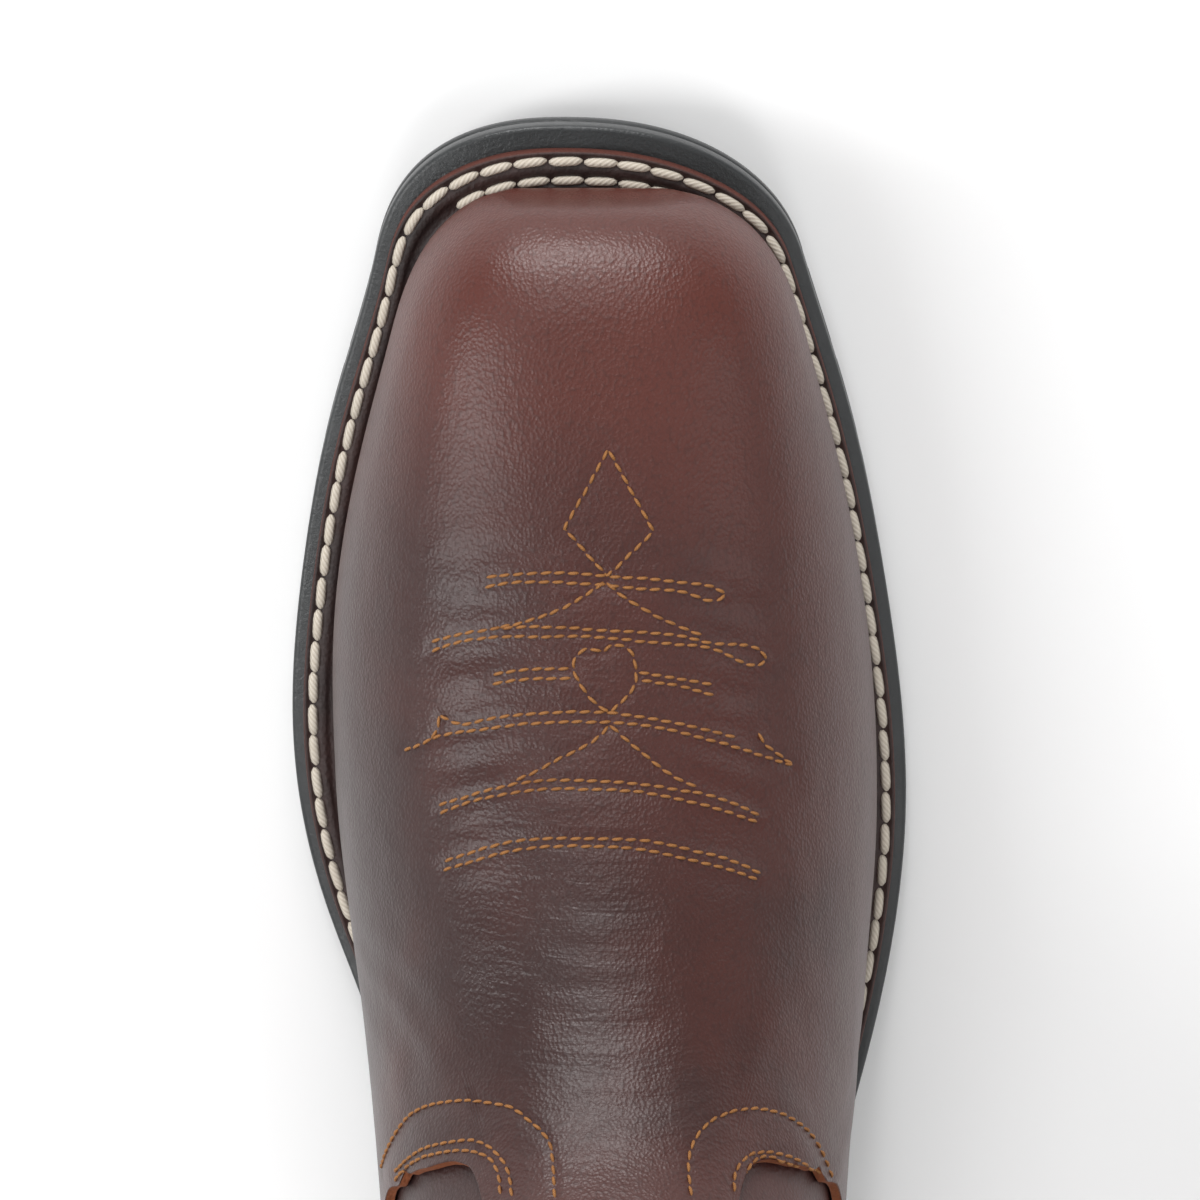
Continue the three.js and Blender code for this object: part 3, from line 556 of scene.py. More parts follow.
# Creases: width, depth (+ a ridge), then plan path
creases = [
    [2.2, -0.25, (88.8, -30.2), (86.3, -21.6), (85.2, -12.6), (86.4, -6.1)],
    [1.8, -0.21, (92.3, -23.2), (92, -14.2), (93.1, -6.1)],
    [1.8, -0.18, (94.8, -26), (94.6, -18), (93.7, -9.8)],
    [2, -0.21, (85.1, 7), (86.8, 16.2), (90.5, 26)],
    [1.8, -0.17, (93.6, 8.8), (95, 17.8), (97.9, 28.8)],
    [2.2, -0.19, (77.6, -27), (77.1, -17.7), (75.7, -10)],
    [2, -0.18, (68.1, 7.1), (70.3, 18), (75.3, 29.7)],
    [2.4, -0.18, (70, -25.9), (67.5, -16.1), (67.9, -9)],
    [1.8, -0.17, (77.9, 12.6), (80.3, 21.5), (85.6, 32.4)],
    [2.2, -0.18, (102, 10.8), (105.6, 21.6), (112, 34.4)],
    [2, -0.18, (108.2, -30.6), (105.2, -21.6), (103, -12.5)],
    [2.6, -0.17, (120.3, -36.3), (116.6, -27), (113.4, -14.2)],
    [2.4, -0.15, (127.2, -7.2), (128.1, 0.1), (128, 9)],
    [2.2, -0.18, (133.2, -10.6), (134, -1.7), (133.5, 7.1)],
    [2.2, -0.15, (140.1, -14.2), (140, -4.5), (139.6, 5.1)],
    [2.4, -0.18, (145.5, -7.1), (146.3, 1.6), (145.5, 11.8)],
    [2.2, -0.15, (151.4, -9.6), (152.1, 0.1), (151.6, 8.7)],
    [2.4, -0.17, (157.2, -7), (157.9, 1.7), (157, 9.6)],
    [2.2, -0.15, (162.6, -4.7), (163.1, 3.4), (162.7, 11.8)],
    [3.2, -0.41, (152, 34.2), (161.6, 40.4), (173.3, 45)],
    [2.8, -0.38, (156.7, 32.3), (164.9, 38.3), (175.9, 43)],
    [2.6, -0.27, (151.3, 37.4), (160.7, 43), (171.5, 46.3)],
    [3, -0.34, (155.9, -40.5), (157.1, -35.4), (161.5, -32.4)],
    [2.6, -0.24, (147, -40.8), (147.4, -34.4), (150.7, -30.7)],
    [6, -0.38, (133.3, -37.3), (126.9, -23.3), (123.9, -7.1)],
    [6, -0.34, (123.7, 7.1), (127.4, 21.3), (137.3, 38)],
    [9, 0.2, (15.8, -14.2), (14.4, -0.2), (16.3, 15.9)],
    [9, -0.2, (28.2, -7.1), (33.5, 7.2), (44.5, 17.7)],
    [10, 0.18, (31, -30.6), (48.6, -32.4), (67.3, -30.6)],
    [5, -0.3, (101.4, -28.9), (100.9, -18), (100.2, -7)],
]

# Finishes

def leather(name, base, dark, warm, look):
    # look: grain, wrinkle, rough and coat, and how much the base is patched
    shader = Shader(name, Specular_IOR_Level=look["specular"], Coat_Roughness=.34)
    split = shader.tree.nodes.new("ShaderNodeSeparateXYZ")
    shader.tree.links.new(shader.objectPlace.socket, split.inputs[0])
    along = Value(shader, split.outputs[1])
    beside = Value(shader, split.outputs[0]).maths("ABSOLUTE", Value(shader, split.outputs[0]))
    patch = shader.noise(look["patch"], 4, .6)
    cloud = shader.noise(look["patch"] * 3.7, 4, .65, distortion=.4)
    tone = shader.mix(shader.between(patch, .38, .66), base, dark)
    tone = shader.mix(shader.between(cloud, .5, .75) * .45, tone, dark)
    tone = shader.mix(shader.between(along, look["warmTo"], look["warmFrom"]) * look["warm"], tone, warm)
    pores = shader.cells(look["grain"], vector=shader.stretched((1, .8, 1)))
    tone = shader.mix(shader.between(pores, .5, .9) * .25, tone, tuple(v * .45 for v in dark))
    edge = shader.node("ShaderNodeAttribute", dict(attribute_name="edge"), {}, "Fac")
    raw = shader.mix(shader.noise(900, 2), look["raw"], tuple(v * .55 for v in look["raw"]))
    shader.feed("Base Color", shader.mix(edge, tone, raw))
    folds = shader.noise(1, 3, .5, vector=shader.stretched(look["foldScale"]), distortion=.5)
    flex = shader.between(along, look["flexFrom"], look["flexTo"]) * shader.between(shader.noise(16, 2), .36, .62)
    flex = flex * shader.between(beside, .052, .012)
    fine = shader.noise(look["grain"] * 1.6, 1, .6)
    wide = shader.noise(95, 2, .5)
    shape = (pores * .5 + fine * .3) * look["grainHigh"] + folds * flex * look["fold"] + wide * look["uneven"]
    shader.feed("Roughness", look["rough"] + (cloud - .5) * .16 + pores * .05 + edge * .35)
    shader.feed("Coat Weight", look["coat"] - edge * look["coat"])
    shader.feed("Normal", shader.bump(shape, 1, .001))
    return shader.material


vampLook = dict(grain=1500, grainHigh=.2, fold=.3, uneven=.3, patch=9, rough=.36, coat=.1, specular=.42, warm=.6,
                warmFrom=-.262, warmTo=-.185, flexFrom=-.235, flexTo=-.19, foldScale=(95, 640, 200),
                raw=srgb(150, 84, 48))
shaftLook = dict(vampLook, rough=.46, coat=.12, warm=0, patch=12, fold=.2)
trimLook = dict(shaftLook, grain=1400, rough=.5, uneven=.15, fold=.05)
vampLeather = leather("vampLeather", srgb(71, 34, 28), srgb(46, 24, 22), srgb(96, 44, 34), vampLook)
shaftLeather = leather("shaftLeather", srgb(70, 33, 28), srgb(46, 23, 21), srgb(90, 46, 38), shaftLook)
trimLeather = leather("trimLeather", srgb(56, 28, 25), srgb(40, 21, 20), srgb(70, 38, 32), trimLook)
weltLeather = leather("weltLeather", srgb(52, 33, 30), srgb(34, 23, 22), srgb(66, 38, 32),
                      dict(trimLook, rough=.55, coat=.05, patch=30, raw=srgb(104, 52, 40)))


def rubber(name, colour, rough, speckle=.4):
    shader = Shader(name, Specular_IOR_Level=.5)
    dust = shader.noise(60, 4, .6)
    dusty = tuple(v * 1.9 for v in colour)
    shader.feed("Base Color", shader.mix(shader.between(dust, .4, .75) * speckle, colour, dusty))
    shader.feed("Roughness", rough + (dust - .5) * .2)
    shader.feed("Normal", shader.bump(shader.noise(1500, 3) * .12 + shader.noise(160, 2) * .15, 1, .001))
    return shader.material


def threadFinish(name, light, shade, rough):
    # twisted plies lie along each stitch, which its own UV map follows
    shader = Shader(name, Specular_IOR_Level=.3)
    plies = shader.node("ShaderNodeUVMap", dict(uv_map="plies"), {})
    twist = shader.node("ShaderNodeTexWave", dict(bands_direction="DIAGONAL"),
                        {"Vector": plies, "Scale": 1.6, "Distortion": .8, "Detail": 1})
    stain = shader.noise(140, 3)
    tone = shader.mix(shader.between(twist, .1, .8), shade, light)
    shader.feed("Base Color", shader.mix(shader.between(stain, .5, .75) * .5, tone, shade))
    shader.feed("Roughness", rough + stain * .1)
    shader.feed("Normal", shader.bump(twist, .35, .0002))
    return shader.material


soleRubber = rubber("soleRubber", srgb(41, 43, 44), .38)
liftRubber = rubber("liftRubber", srgb(33, 34, 36), .62)
weltThread = threadFinish("weltThread", srgb(208, 199, 186), srgb(188, 178, 163), .7)
tanThread = threadFinish("tanThread", srgb(170, 118, 66), srgb(120, 76, 40), .6)


def stackedLeather():
    shader = Shader("stackedLeather", Specular_IOR_Level=.4)
    layers = shader.noise(1, 2, .5, vector=shader.stretched((12, 12, 900)))
    tone = shader.mix(shader.between(layers, .35, .65), srgb(70, 42, 30), srgb(46, 29, 23))
    shader.feed("Base Color", tone)
    shader.feed("Roughness", .45 + layers * .15)
    shader.feed("Normal", shader.bump(layers * .25 + shader.noise(900, 2) * .08, 1, .001))
    return shader.material


def boardFinish():
    shader = Shader("insoleBoard", Specular_IOR_Level=.25)
    fibres = shader.noise(420, 5, .65)
    shader.feed("Base Color", shader.mix(shader.between(fibres, .35, .7), srgb(150, 112, 78), srgb(118, 84, 58)))
    shader.feed("Roughness", .8 + fibres * .1)
    shader.feed("Normal", shader.bump(fibres * .3, 1, .001))
    return shader.material


heelStack, insoleBoard = stackedLeather(), boardFinish()
print("finishes ready")


# Sole, heel, welt and insole

def closing(distance, reach):
    share = np.clip(distance / reach, 0, 1)
    return (1 - (1 - share) ** sole["full"]) ** (1 / sole["full"])


def soleEdge(side, along):
    middle = np.where(along < length / 2, sole["tip"], heelOffset)
    half = soleInner(along) if side < 0 else soleOuter(along)
    share = np.where(along < length / 2, closing(along, sole["tipReach"]), closing(length - along, sole["backReach"]))
    return np.stack([along, middle + side * (half - side * middle) * share], 1)


def crowded(steps):
    t = np.linspace(0, 1, steps)
    return np.where(t < .5, 8 * t ** 4, 1 - 8 * (1 - t) ** 4)


edgeHalves = {side: soleEdge(side, length * crowded(1400)) for side in (-1, 1)}


def soleOutline(steps):
    share = np.linspace(0, 1, steps)
    outer, inner = atShares(edgeHalves[1], share), atShares(edgeHalves[-1], share)
    return np.concatenate([outer, inner[-2:0:-1]])


def ribAt(share):
    return lambda along: tread(along) + 2 + (bed(along) - sole["rim"] - tread(along) - 2) * share


def grooveCutter(alongs, low, high, wide, bow):
    # one closed bar for each groove, bowed back at its ends
    points, faces = [], []
    across = np.linspace(-80, 80, 33)
    for along in alongs:
        base = len(points)
        for q in across:
            middle = along + bow * (q / 58) ** 2
            height = low(middle)
            for da, dz in ((-wide / 2 - .4, -4), (wide / 2 + .4, -4), (wide / 2 - .5, high), (-wide / 2 + .5, high)):
                points.append((middle + da, q, height + dz))
        for i in range(len(across) - 1):
            for k in range(4):
                a, b = base + i * 4 + k, base + i * 4 + (k + 1) % 4
                faces.append((a, b, b + 4, a + 4))
        faces.append((base + 3, base + 2, base + 1, base))
        last4 = base + 4 * (len(across) - 1)
        faces.append((last4, last4 + 1, last4 + 2, last4 + 3))
    return points, faces


def cutGrooves(piece, points, faces):
    mesh = bpy.data.meshes.new("grooveCutter")
    mesh.from_pydata([tuple(p) for p in place(points)], [], faces)
    cutter = bpy.data.objects.new("grooveCutter", mesh)
    bpy.context.scene.collection.objects.link(cutter)
    faceOutward(cutter)
    applyModifier(piece, "BOOLEAN", operation="DIFFERENCE", solver="EXACT", object=cutter)
    bpy.data.objects.remove(cutter)


outline = soleOutline(260)
profile = [(1.6, tread), (.5, lambda a: tread(a) + .5), (0, lambda a: tread(a) + 1.5), (0, ribAt(.38)),
           (sole["rib"], ribAt(.43)), (sole["rib"], ribAt(.47)), (0, ribAt(.54)), (0, ribAt(.8)), (0, ribAt(1)),
           (.12, lambda a: bed(a) - .5), (.4, lambda a: bed(a) - .2), (.9, bed)]
outsole = loopPiece("outsole_rubber_sole", [atHeight(insetLoop(outline, d), h) for d, h in profile], soleRubber,
                    ["outsole"])
grooves = np.arange(sole["treadStart"], sole["treadEnd"], sole["groovePitch"])
cutGrooves(outsole, *grooveCutter(grooves, lambda a: float(tread(a)), sole["grooveDeep"], sole["grooveWide"],
                                  sole["grooveSweep"]))


def heelLoops(levels):
    breast = length - sole["heelLength"]
    kept = None
    loops = []
    for inset, height in levels:
        base = insetLoop(soleOutline(200), inset)
        if kept is None:
            kept = base[:, 0] > breast + .4
        rim = base[kept].copy()
        rim[0, 0] = rim[-1, 0] = breast
        q = np.linspace(rim[-1, 1], rim[0, 1], 26)[1:-1]
        hollow = np.stack([breast + sole["breastHollow"] * (1 - (q / heelHalf) ** 2), q], 1)
        hollow[:, 0] = np.maximum(hollow[:, 0], breast)
        loop = np.concatenate([rim, hollow])
        loops.append(atHeight(loop, height if callable(height) else lambda a, h=height: np.full(len(a), h)))
    return loops


def heelPiece(name, levels, material, node):
    loops = np.array(heelLoops(levels))
    rows, count = loops.shape[:2]
    faces = loopFaces(rows, count, True)[:(rows - 1) * count]
    faces += [tuple(reversed(range(count))), tuple(range((rows - 1) * count, rows * count))]
    return newPiece(name, loops.reshape(-1, 3), faces, material, [node])


def seatHeight(share):
    low = sole["lift"] + boot["gap"]
    return lambda a: low + (tread(a) - boot["gap"] - low) * share


def taperAt(share):
    return sole["heelInset"] + sole["heelTaper"] * (1 - share) * .8


levels = []
for layer in range(5):
    low, high = layer / 5, (layer + 1) / 5
    for share, pinch in ((low + .012, .35), (low + .03, 0), (high - .03, 0), (high - .012, .35)):
        levels.append((taperAt(share) + pinch, seatHeight(share)))
levels[0] = (levels[0][0], seatHeight(0))
levels[-1] = (levels[-1][0], seatHeight(1))
heelPiece("heel_stack", levels, heelStack, "heel_block")
ground = sole["heelInset"] + sole["heelTaper"]
lift = heelPiece("top_lift_rubber", [(ground + .6, 0), (ground, .7), (ground - .3, 6.4), (ground + .1, 7)], liftRubber,
                 "top_lift")
cutGrooves(lift, *grooveCutter([length - sole["heelLength"] * (1 - s) for s in sole["heelGrooves"]], lambda a: 0.0,
                               sole["grooveDeep"], sole["grooveWide"], sole["grooveSweep"] * .5))


# the welt, with a pressed channel for each row of stitches
welt = dict(toeInset=1.9, outerRow=1.95, innerRow=5.85, channel=.5, channelWide=2.3)
weltTurns = np.linspace(-1, 1, 721)[:-1]
weltShares = np.abs(weltTurns)
outer, inner = atShares(edgeHalves[1], weltShares), atShares(edgeHalves[-1], weltShares)
weltLine = np.where((weltTurns < 0)[:, None], inner, outer)
weltLine = insetLoop(weltLine, sole["weltInset"] + welt["toeInset"] * np.exp(-(weltLine[:, 0] / 13) ** 2))
tongue = Skin(weltTurns).shell(np.zeros(1), -sole["weltTongue"])[0][:, :2]
reachIn = np.linalg.norm(tongue - weltLine, axis=1)


def weltAt(distance):
    # distance in from the welt's edge, one for all or one for each column
    share = np.minimum(distance, reachIn - .4) / reachIn
    return weltLine + (tongue - weltLine) * share[:, None]


def channelDepth(distance):
    depth = 0
    for row in (welt["outerRow"], welt["innerRow"]):
        depth = depth + welt["channel"] * math.exp(-((distance - row) / welt["channelWide"] * 2) ** 4)
    return depth


rowsAt = [(0, .6), (.15, .22), (.4, .04)] + [(d, 0) for d in np.arange(.7, 8.5, .33)]
weltLoops = [atHeight(weltAt(.2), lambda a: bed(a) + .02), atHeight(weltAt(0), lambda a: bed(a) + .3)]
weltLoops += [atHeight(weltAt(d), lambda a, d=d, drop=drop: weltTop(a) - drop - channelDepth(d)) for d, drop in rowsAt]
weltLoops += [atHeight(tongue, weltTop), atHeight(tongue, lambda a: bed(a) + .02)]
edgeValues = [1, 1, .8, .25] + [0] * (len(weltLoops) - 4)
loopPiece("welt_strip", weltLoops, weltLeather, ["welt"], joined=True, edge=edgeValues)

insoleLoop = Skin(np.linspace(-1, 1, 301)[:-1]).shell(np.zeros(1), -sole["weltTongue"] - boot["gap"])[0][:, :2]
insoleLevels = [(.3, 0), (0, .3), (0, sole["insole"] - .5), (.5, sole["insole"])]
loopPiece("insole_board", [atHeight(insetLoop(insoleLoop, d), lambda a, h=h: bed(a) + boot["gap"] + h)
                           for d, h in insoleLevels], insoleBoard, ["insole"])
print("sole and welt built")


# Creases and dents, each a path in plan (along, across) with its width and depth in millimetres, + for a ridge

def nearness(points, path):
    best = np.full(len(points), 1e9)
    for a, b in zip(path[:-1], path[1:]):
        step = b - a
        t = np.clip(((points - a) @ step) / max(step @ step, 1e-9), 0, 1)
        best = np.minimum(best, np.linalg.norm(points - a - t[:, None] * step, axis=1))
    return best


def softPath(path, pitch=.6):
    # smooth line through the points, evenly stepped
    path = np.asarray(path, float)
    run = running(path)
    steps = np.linspace(0, run[-1], max(3, int(run[-1] / pitch)))
    if len(path) < 3:
        return np.stack([np.interp(steps, run, path[:, k]) for k in (0, 1)], 1)
    return np.stack([curveThrough(run, path[:, k].copy())(steps) for k in (0, 1)], 1)


def creaseLift(plan, above):
    lift = np.zeros(len(plan))
    for wide, deep, *path in creases:
        path = softPath(path, 2.5)
        low, high = path.min(0) - wide * 3, path.max(0) + wide * 3
        near = above & np.all((plan > low) & (plan < high), axis=1)
        if near.any():
            away = nearness(plan[near], path)
            ends = np.min([np.linalg.norm(plan[near] - tip, axis=1) for tip in (path[0], path[-1])], 0)
            fade = np.clip(.35 + ends / (wide * 4), 0, 1)
            lift[near] += deep * fade * (np.exp(-(away / wide) ** 2) - .45 * np.exp(-((away - wide * 1.7) / wide) ** 2))
    for path in seams:
        line = softPath(path[1:], 2) if path[0] else np.asarray(path[1:], float)
        low, high = line.min(0) - 3, line.max(0) + 3
        near = above & np.all((plan > low) & (plan < high), axis=1)
        if near.any():
            lift[near] -= .22 * np.exp(-(nearness(plan[near], line) / .9) ** 2)
    return lift


# Vamp and counter over the upper

meanKnots = Meridians([0, .25, -.25, .45, -.45])
reach = meanKnots.knots / meanKnots.knots[15]
spread = .5 * reach[:, 0] + .5 * reach[:, 1:].mean(1)


def ringShares(count, edge):
    # rings from 0 to the edge, evenly spaced on the leather
    top = np.interp(edge, np.arange(lastRing + 1), spread)
    return np.interp(np.linspace(0, 1, count)[:, None] * top[None, :], spread, np.arange(lastRing + 1))


def edgeRing(back):
    steps = np.linspace(-.012, .012, 9)
    return np.mean([np.interp(back + s, overlayEdge[:, 0], overlayEdge[:, 1]) for s in steps], 0)


def shellAt(turns, rings, distance):
    flat = [np.broadcast_to(v, rings.shape).ravel() for v in (turns, rings, distance)]
    out = [pairShell(flat[0][i:i + 15000], flat[1][i:i + 15000], flat[2][i:i + 15000])
           for i in range(0, len(flat[0]), 15000)]
    return np.concatenate(out).reshape(*rings.shape, 3)


def gridFaces(rows, columns, base=0, turned=False, closed=False):
    faces = []
    for r in range(rows - 1):
        for c in range(columns if closed else columns - 1):
            d = (c + 1) % columns
            low, high = base + r * columns, base + (r + 1) * columns
            face = (low + c, low + d, high + d, high + c)
            faces.append(face[::-1] if turned else face)
    return faces


def overlayPiece(name, sides, backs, rows, step, node, lifted):
    top = edgeRing(backs)
    rings = ringShares(rows, top)
    # round over the foot and the cut edge, at these distances off the upper
    foot = [.62, 1.6, 2.1]
    rim = [cover - .1, cover - .35, 1.7, 1.1, .62]
    rings = np.concatenate([np.zeros((2, len(backs))), rings, np.repeat(top[None, :], 5, 0)])
    distance = np.full(rings.shape, cover)
    distance[:3], distance[-5:] = np.array(foot)[:, None], np.array(rim)[:, None]
    turns = turnAt(sides[None, :], backs[None, :], rings)
    outside = shellAt(turns, rings, distance)
    values = np.zeros(rings.shape)
    values[-5:] = np.array([.5, 1, 1, 1, 1])[:, None]
    if lifted:
        flat = outside.reshape(-1, 3)
        body = np.ones(rings.shape, bool)
        body[:3] = body[-5:] = False
        lift = creaseLift(flat[:, :2], body.ravel() & (rings.ravel() > 2.5)).reshape(rings.shape)
        moved = shellAt(turns, rings, distance + lift)
        outside = np.where(body[..., None], moved, outside)
    rowPicks = list(range(0, rings.shape[0] - 1, step)) + [rings.shape[0] - 1]
    colPicks = list(range(0, rings.shape[1] - 1, step)) + [rings.shape[1] - 1]
    inRings, inTurns = rings[np.ix_(rowPicks, colPicks)], turns[np.ix_(rowPicks, colPicks)]
    inside = shellAt(inTurns, inRings, np.full(inRings.shape, boot["overlayGap"]))
    nr, nc = rings.shape
    mr, mc = inRings.shape
    base = nr * nc
    faces = gridFaces(nr, nc) + gridFaces(mr, mc, base, True)

    def outerAt(r, c):
        return r * nc + c

    def innerAt(i, j):
        return base + i * mc + j
    for j in range(mc - 1):
        span = range(colPicks[j], colPicks[j + 1] + 1)
        faces.append(tuple(outerAt(0, c) for c in reversed(span)) + (innerAt(0, j), innerAt(0, j + 1)))
        faces.append(tuple(outerAt(nr - 1, c) for c in span) + (innerAt(mr - 1, j + 1), innerAt(mr - 1, j)))
    for i in range(mr - 1):
        span = range(rowPicks[i], rowPicks[i + 1] + 1)
        faces.append(tuple(outerAt(r, 0) for r in span) + (innerAt(i + 1, 0), innerAt(i, 0)))
        faces.append(tuple(outerAt(r, nc - 1) for r in reversed(span)) + (innerAt(i, mc - 1), innerAt(i + 1, mc - 1)))
    points = np.concatenate([outside.reshape(-1, 3), inside.reshape(-1, 3)])
    edge = np.concatenate([values.ravel(), np.zeros(mr * mc)])
    return newPiece(name, points, faces, vampLeather, [node], edge)


vampShare = np.linspace(-1, 1, 301)
vamp = overlayPiece("vamp_leather", np.where(vampShare < 0, -1, 1), np.abs(vampShare) * .9975, 262, 4,
                    "vamp", True)
backShare = np.linspace(-1, 1, 161)
counter = overlayPiece("counter_leather", np.where(backShare < 0, -1, 1), 2 - np.abs(backShare) * .9935, 120, 4,
                       "counter", False)
print("vamp and counter built")


# Upper: one closed tube, fine where it shows

upperTurns = np.linspace(-1, 1, 301)[:-1]
outRings = np.concatenate([np.linspace(0, 10, 22)[:-1], np.linspace(10, 14, 60)[:-1], np.linspace(14, lastRing, 80)])
folds = [(.02, 14.9, .32, .9, 1.3), (-.05, 15.35, .28, .5, .9), (.3, 15.6, .3, .7, 1.0), (-.3, 15.4, .35, .8, 1.1),
         (.85, 15.1, .3, .9, 1.3), (-.8, 15.5, .33, .8, 1.2), (.6, 16.3, .25, .5, .8), (-.55, 16.6, .25, .5, .9),
         (.15, 16.5, .25, .6, .7), (1.0, 16.2, .3, .6, .8)]
ringsHere = np.repeat(outRings[:, None], len(upperTurns), 1)
turnsHere = np.repeat(upperTurns[None, :], len(outRings), 0)
sway = np.zeros(ringsHere.shape)
for turn, ring, wide, deep, tilt in folds:
    # turn and ring at the fold's middle, half length in turns, depth, and how steeply it climbs
    across = (turnsHere - turn + 1) % 2 - 1
    away = (ringsHere - ring - across * tilt) / .22
    sway -= deep * np.exp(-away ** 2 - (across / wide * 1.2) ** 2)
    sway += deep * .5 * np.exp(-((away - 1.8) ** 2) - (across / wide * 1.2) ** 2)
sway *= np.clip((ringsHere - 14.2) / .8, 0, 1) * np.clip((18.2 - ringsHere) / 1.2, 0, 1)
upperOut = Skin(upperTurns).shell(outRings, sway - .02)
inStep = 4
inTurns, inRings = upperTurns[::inStep], outRings[::4]
inRings = np.append(inRings[inRings < lastRing], lastRing)
upperIn = Skin(inTurns).shell(inRings, -last["wall"])
nr, nc, mr, mc = len(outRings), len(upperTurns), len(inRings), len(inTurns)
base = nr * nc
faces = gridFaces(nr, nc, closed=True) + gridFaces(mr, mc, base, True, closed=True)
for j in range(mc):
    span = [(j * inStep + k) % nc for k in range(inStep + 1)]
    after = (j + 1) % mc
    faces.append(tuple(reversed(span)) + (base + j, base + after))
    faces.append(tuple((nr - 1) * nc + c for c in span) + (base + (mr - 1) * mc + after, base + (mr - 1) * mc + j))
upperPoints = np.concatenate([upperOut.reshape(-1, 3), upperIn.reshape(-1, 3)])
newPiece("upper_leather", upperPoints, faces, shaftLeather, ["upper"])


def ringBelow(skin, depth):
    knots = skin.middle.knots
    depth = np.broadcast_to(depth, (knots.shape[1],))
    numbers = np.arange(lastRing + 1)
    return np.array([np.interp(knots[-1, c] - depth[c], knots[:, c], numbers) for c in range(knots.shape[1])])


# Side seam piping
piping = dict(half=1.8, thick=1.9, turnWidth=175)
for side, word in ((-1, "inner"), (1, "outer")):
    top = ringBelow(Skin([side * .5]), 63)[0]
    ringsUp = np.linspace(10.85, top, 150)
    seam = side * np.interp(ringsUp, ringGrid, seamTable[side])
    round9 = [(math.cos(a), math.sin(a)) for a in np.linspace(math.pi, 0, 11)]
    loops = []
    for k, ring in enumerate(ringsUp):
        close = min(1, .25 + min(k, len(ringsUp) - 1 - k) * .25)
        acrossTurn = np.array([seam[k] + c * piping["half"] * close / piping["turnWidth"] for c, s in round9])
        up = np.array([boot["overlayGap"] + boot["gap"] + s * piping["thick"] * close for c, s in round9])
        loops.append(pairShell(acrossTurn, np.full(11, ring), up))
    loopPiece("seam_piping_" + word, loops, trimLeather, ["side_seam_" + word])

# Collar binding
binding = dict(deep=9, thick=1.2, topLift=1.5)
collarTurns = np.linspace(-1, 1, 241)[:-1]
collar = Skin(collarTurns)
outsideAt, insideAt = boot["gap"] + binding["thick"], -last["wall"] - boot["gap"] - binding["thick"]


def collarPoint(depth, distance):
    if depth >= 0:
        return collar.shell(ringBelow(collar, depth)[None, :], distance)[0]
    points = collar.shell(np.full((1, len(collarTurns)), float(lastRing)), distance)[0]
    points[:, 2] = collar.middle.at(np.full(1, float(lastRing)))[0][:, 2] - depth
    return points


# depth below the collar and distance off the leather, round the binding's section
section = [(9, .3), (9, .9), (8.7, 1.35), (8, outsideAt), (5, outsideAt), (2, outsideAt), (.01, outsideAt), (-.7, 1.2),
           (-1.3, .3), (-1.5, -1.2), (-1.3, -2.7), (-.7, -3.6), (.01, insideAt), (2, insideAt), (5, insideAt),
           (8.2, insideAt), (9, -3.5), (9, -2.75), (5, -2.72), (.01, -2.72), (-.25, -2.6), (-.25, .2),
           (.01, .28), (5, .3)]
loopPiece("collar_binding_leather", [collarPoint(*spot) for spot in section], trimLeather,
          ["collar_binding"], joined=True)


# Pull straps
strap = dict(thick=2.2, overBinding=1.5, outerLeg=60, innerLeg=38, loop=16)


def strapLine():
    # middle line of the strap: distance off the leather and height over the collar
    def stand(depth):
        return boot["gap"] + strap["thick"] / 2 + strap["overBinding"] * (1 - float(smoothStep(11, 18, depth)))
    out = [(stand(d), -d) for d in np.linspace(strap["outerLeg"], 1, 44)]
    inn = [(-last["wall"] - stand(d), -d) for d in np.linspace(1, strap["innerLeg"], 30)]
    high, low = out[-1][0], inn[0][0]
    middle, half = (high + low) / 2, (high - low) / 2
    arch = [(middle + half * math.cos(a), (strap["loop"] - 1.6) * math.sin(a) ** .62)
            for a in np.linspace(.12, math.pi - .12, 24)]
    return np.array(out + arch + inn)


def strapPoint(side, line, across):
    off, high = line
    skin = Skin(side * .5 + across / 175)
    if high <= 0:
        return skin.shell(ringBelow(skin, -high)[None, :], off)[0]
    points = skin.shell(np.full((1, len(across)), float(lastRing)), off)[0]
    points[:, 2] += high
    return points


strapAcross = np.concatenate([[-16, -15.8, -15.2], np.linspace(-14, 14, 15), [15.2, 15.8, 16]])
strapSink = np.array([.75, .3, .06] + [0] * 15 + [.06, .3, .75])
middleLine = strapLine()
tangent = np.gradient(middleLine, axis=0)
normalLine = np.stack([tangent[:, 1], -tangent[:, 0]], 1) / np.linalg.norm(tangent, axis=1, keepdims=True)
for side, word in ((-1, "inner"), (1, "outer")):
    loops = []
    for spot, normal in zip(middleLine, normalLine):
        outside, inside = [], []
        grid = np.concatenate([strapAcross, strapAcross[::-1]])
        facing = np.concatenate([1.1 - strapSink, -(1.1 - strapSink)])
        rows = {}
        for value in np.unique(facing):
            picks = facing == value
            rows[value] = (picks, strapPoint(side, spot + normal * value, grid[picks]))
        loop = np.zeros((len(grid), 3))
        for picks, found in rows.values():
            loop[picks] = found
        loops.append(loop)
    loopPiece("pull_strap_" + word + "_leather", loops, trimLeather, ["pull_strap_" + word])
print("upper and trims built")


# Stitches: a short plump thread on a path, sunk at both ends

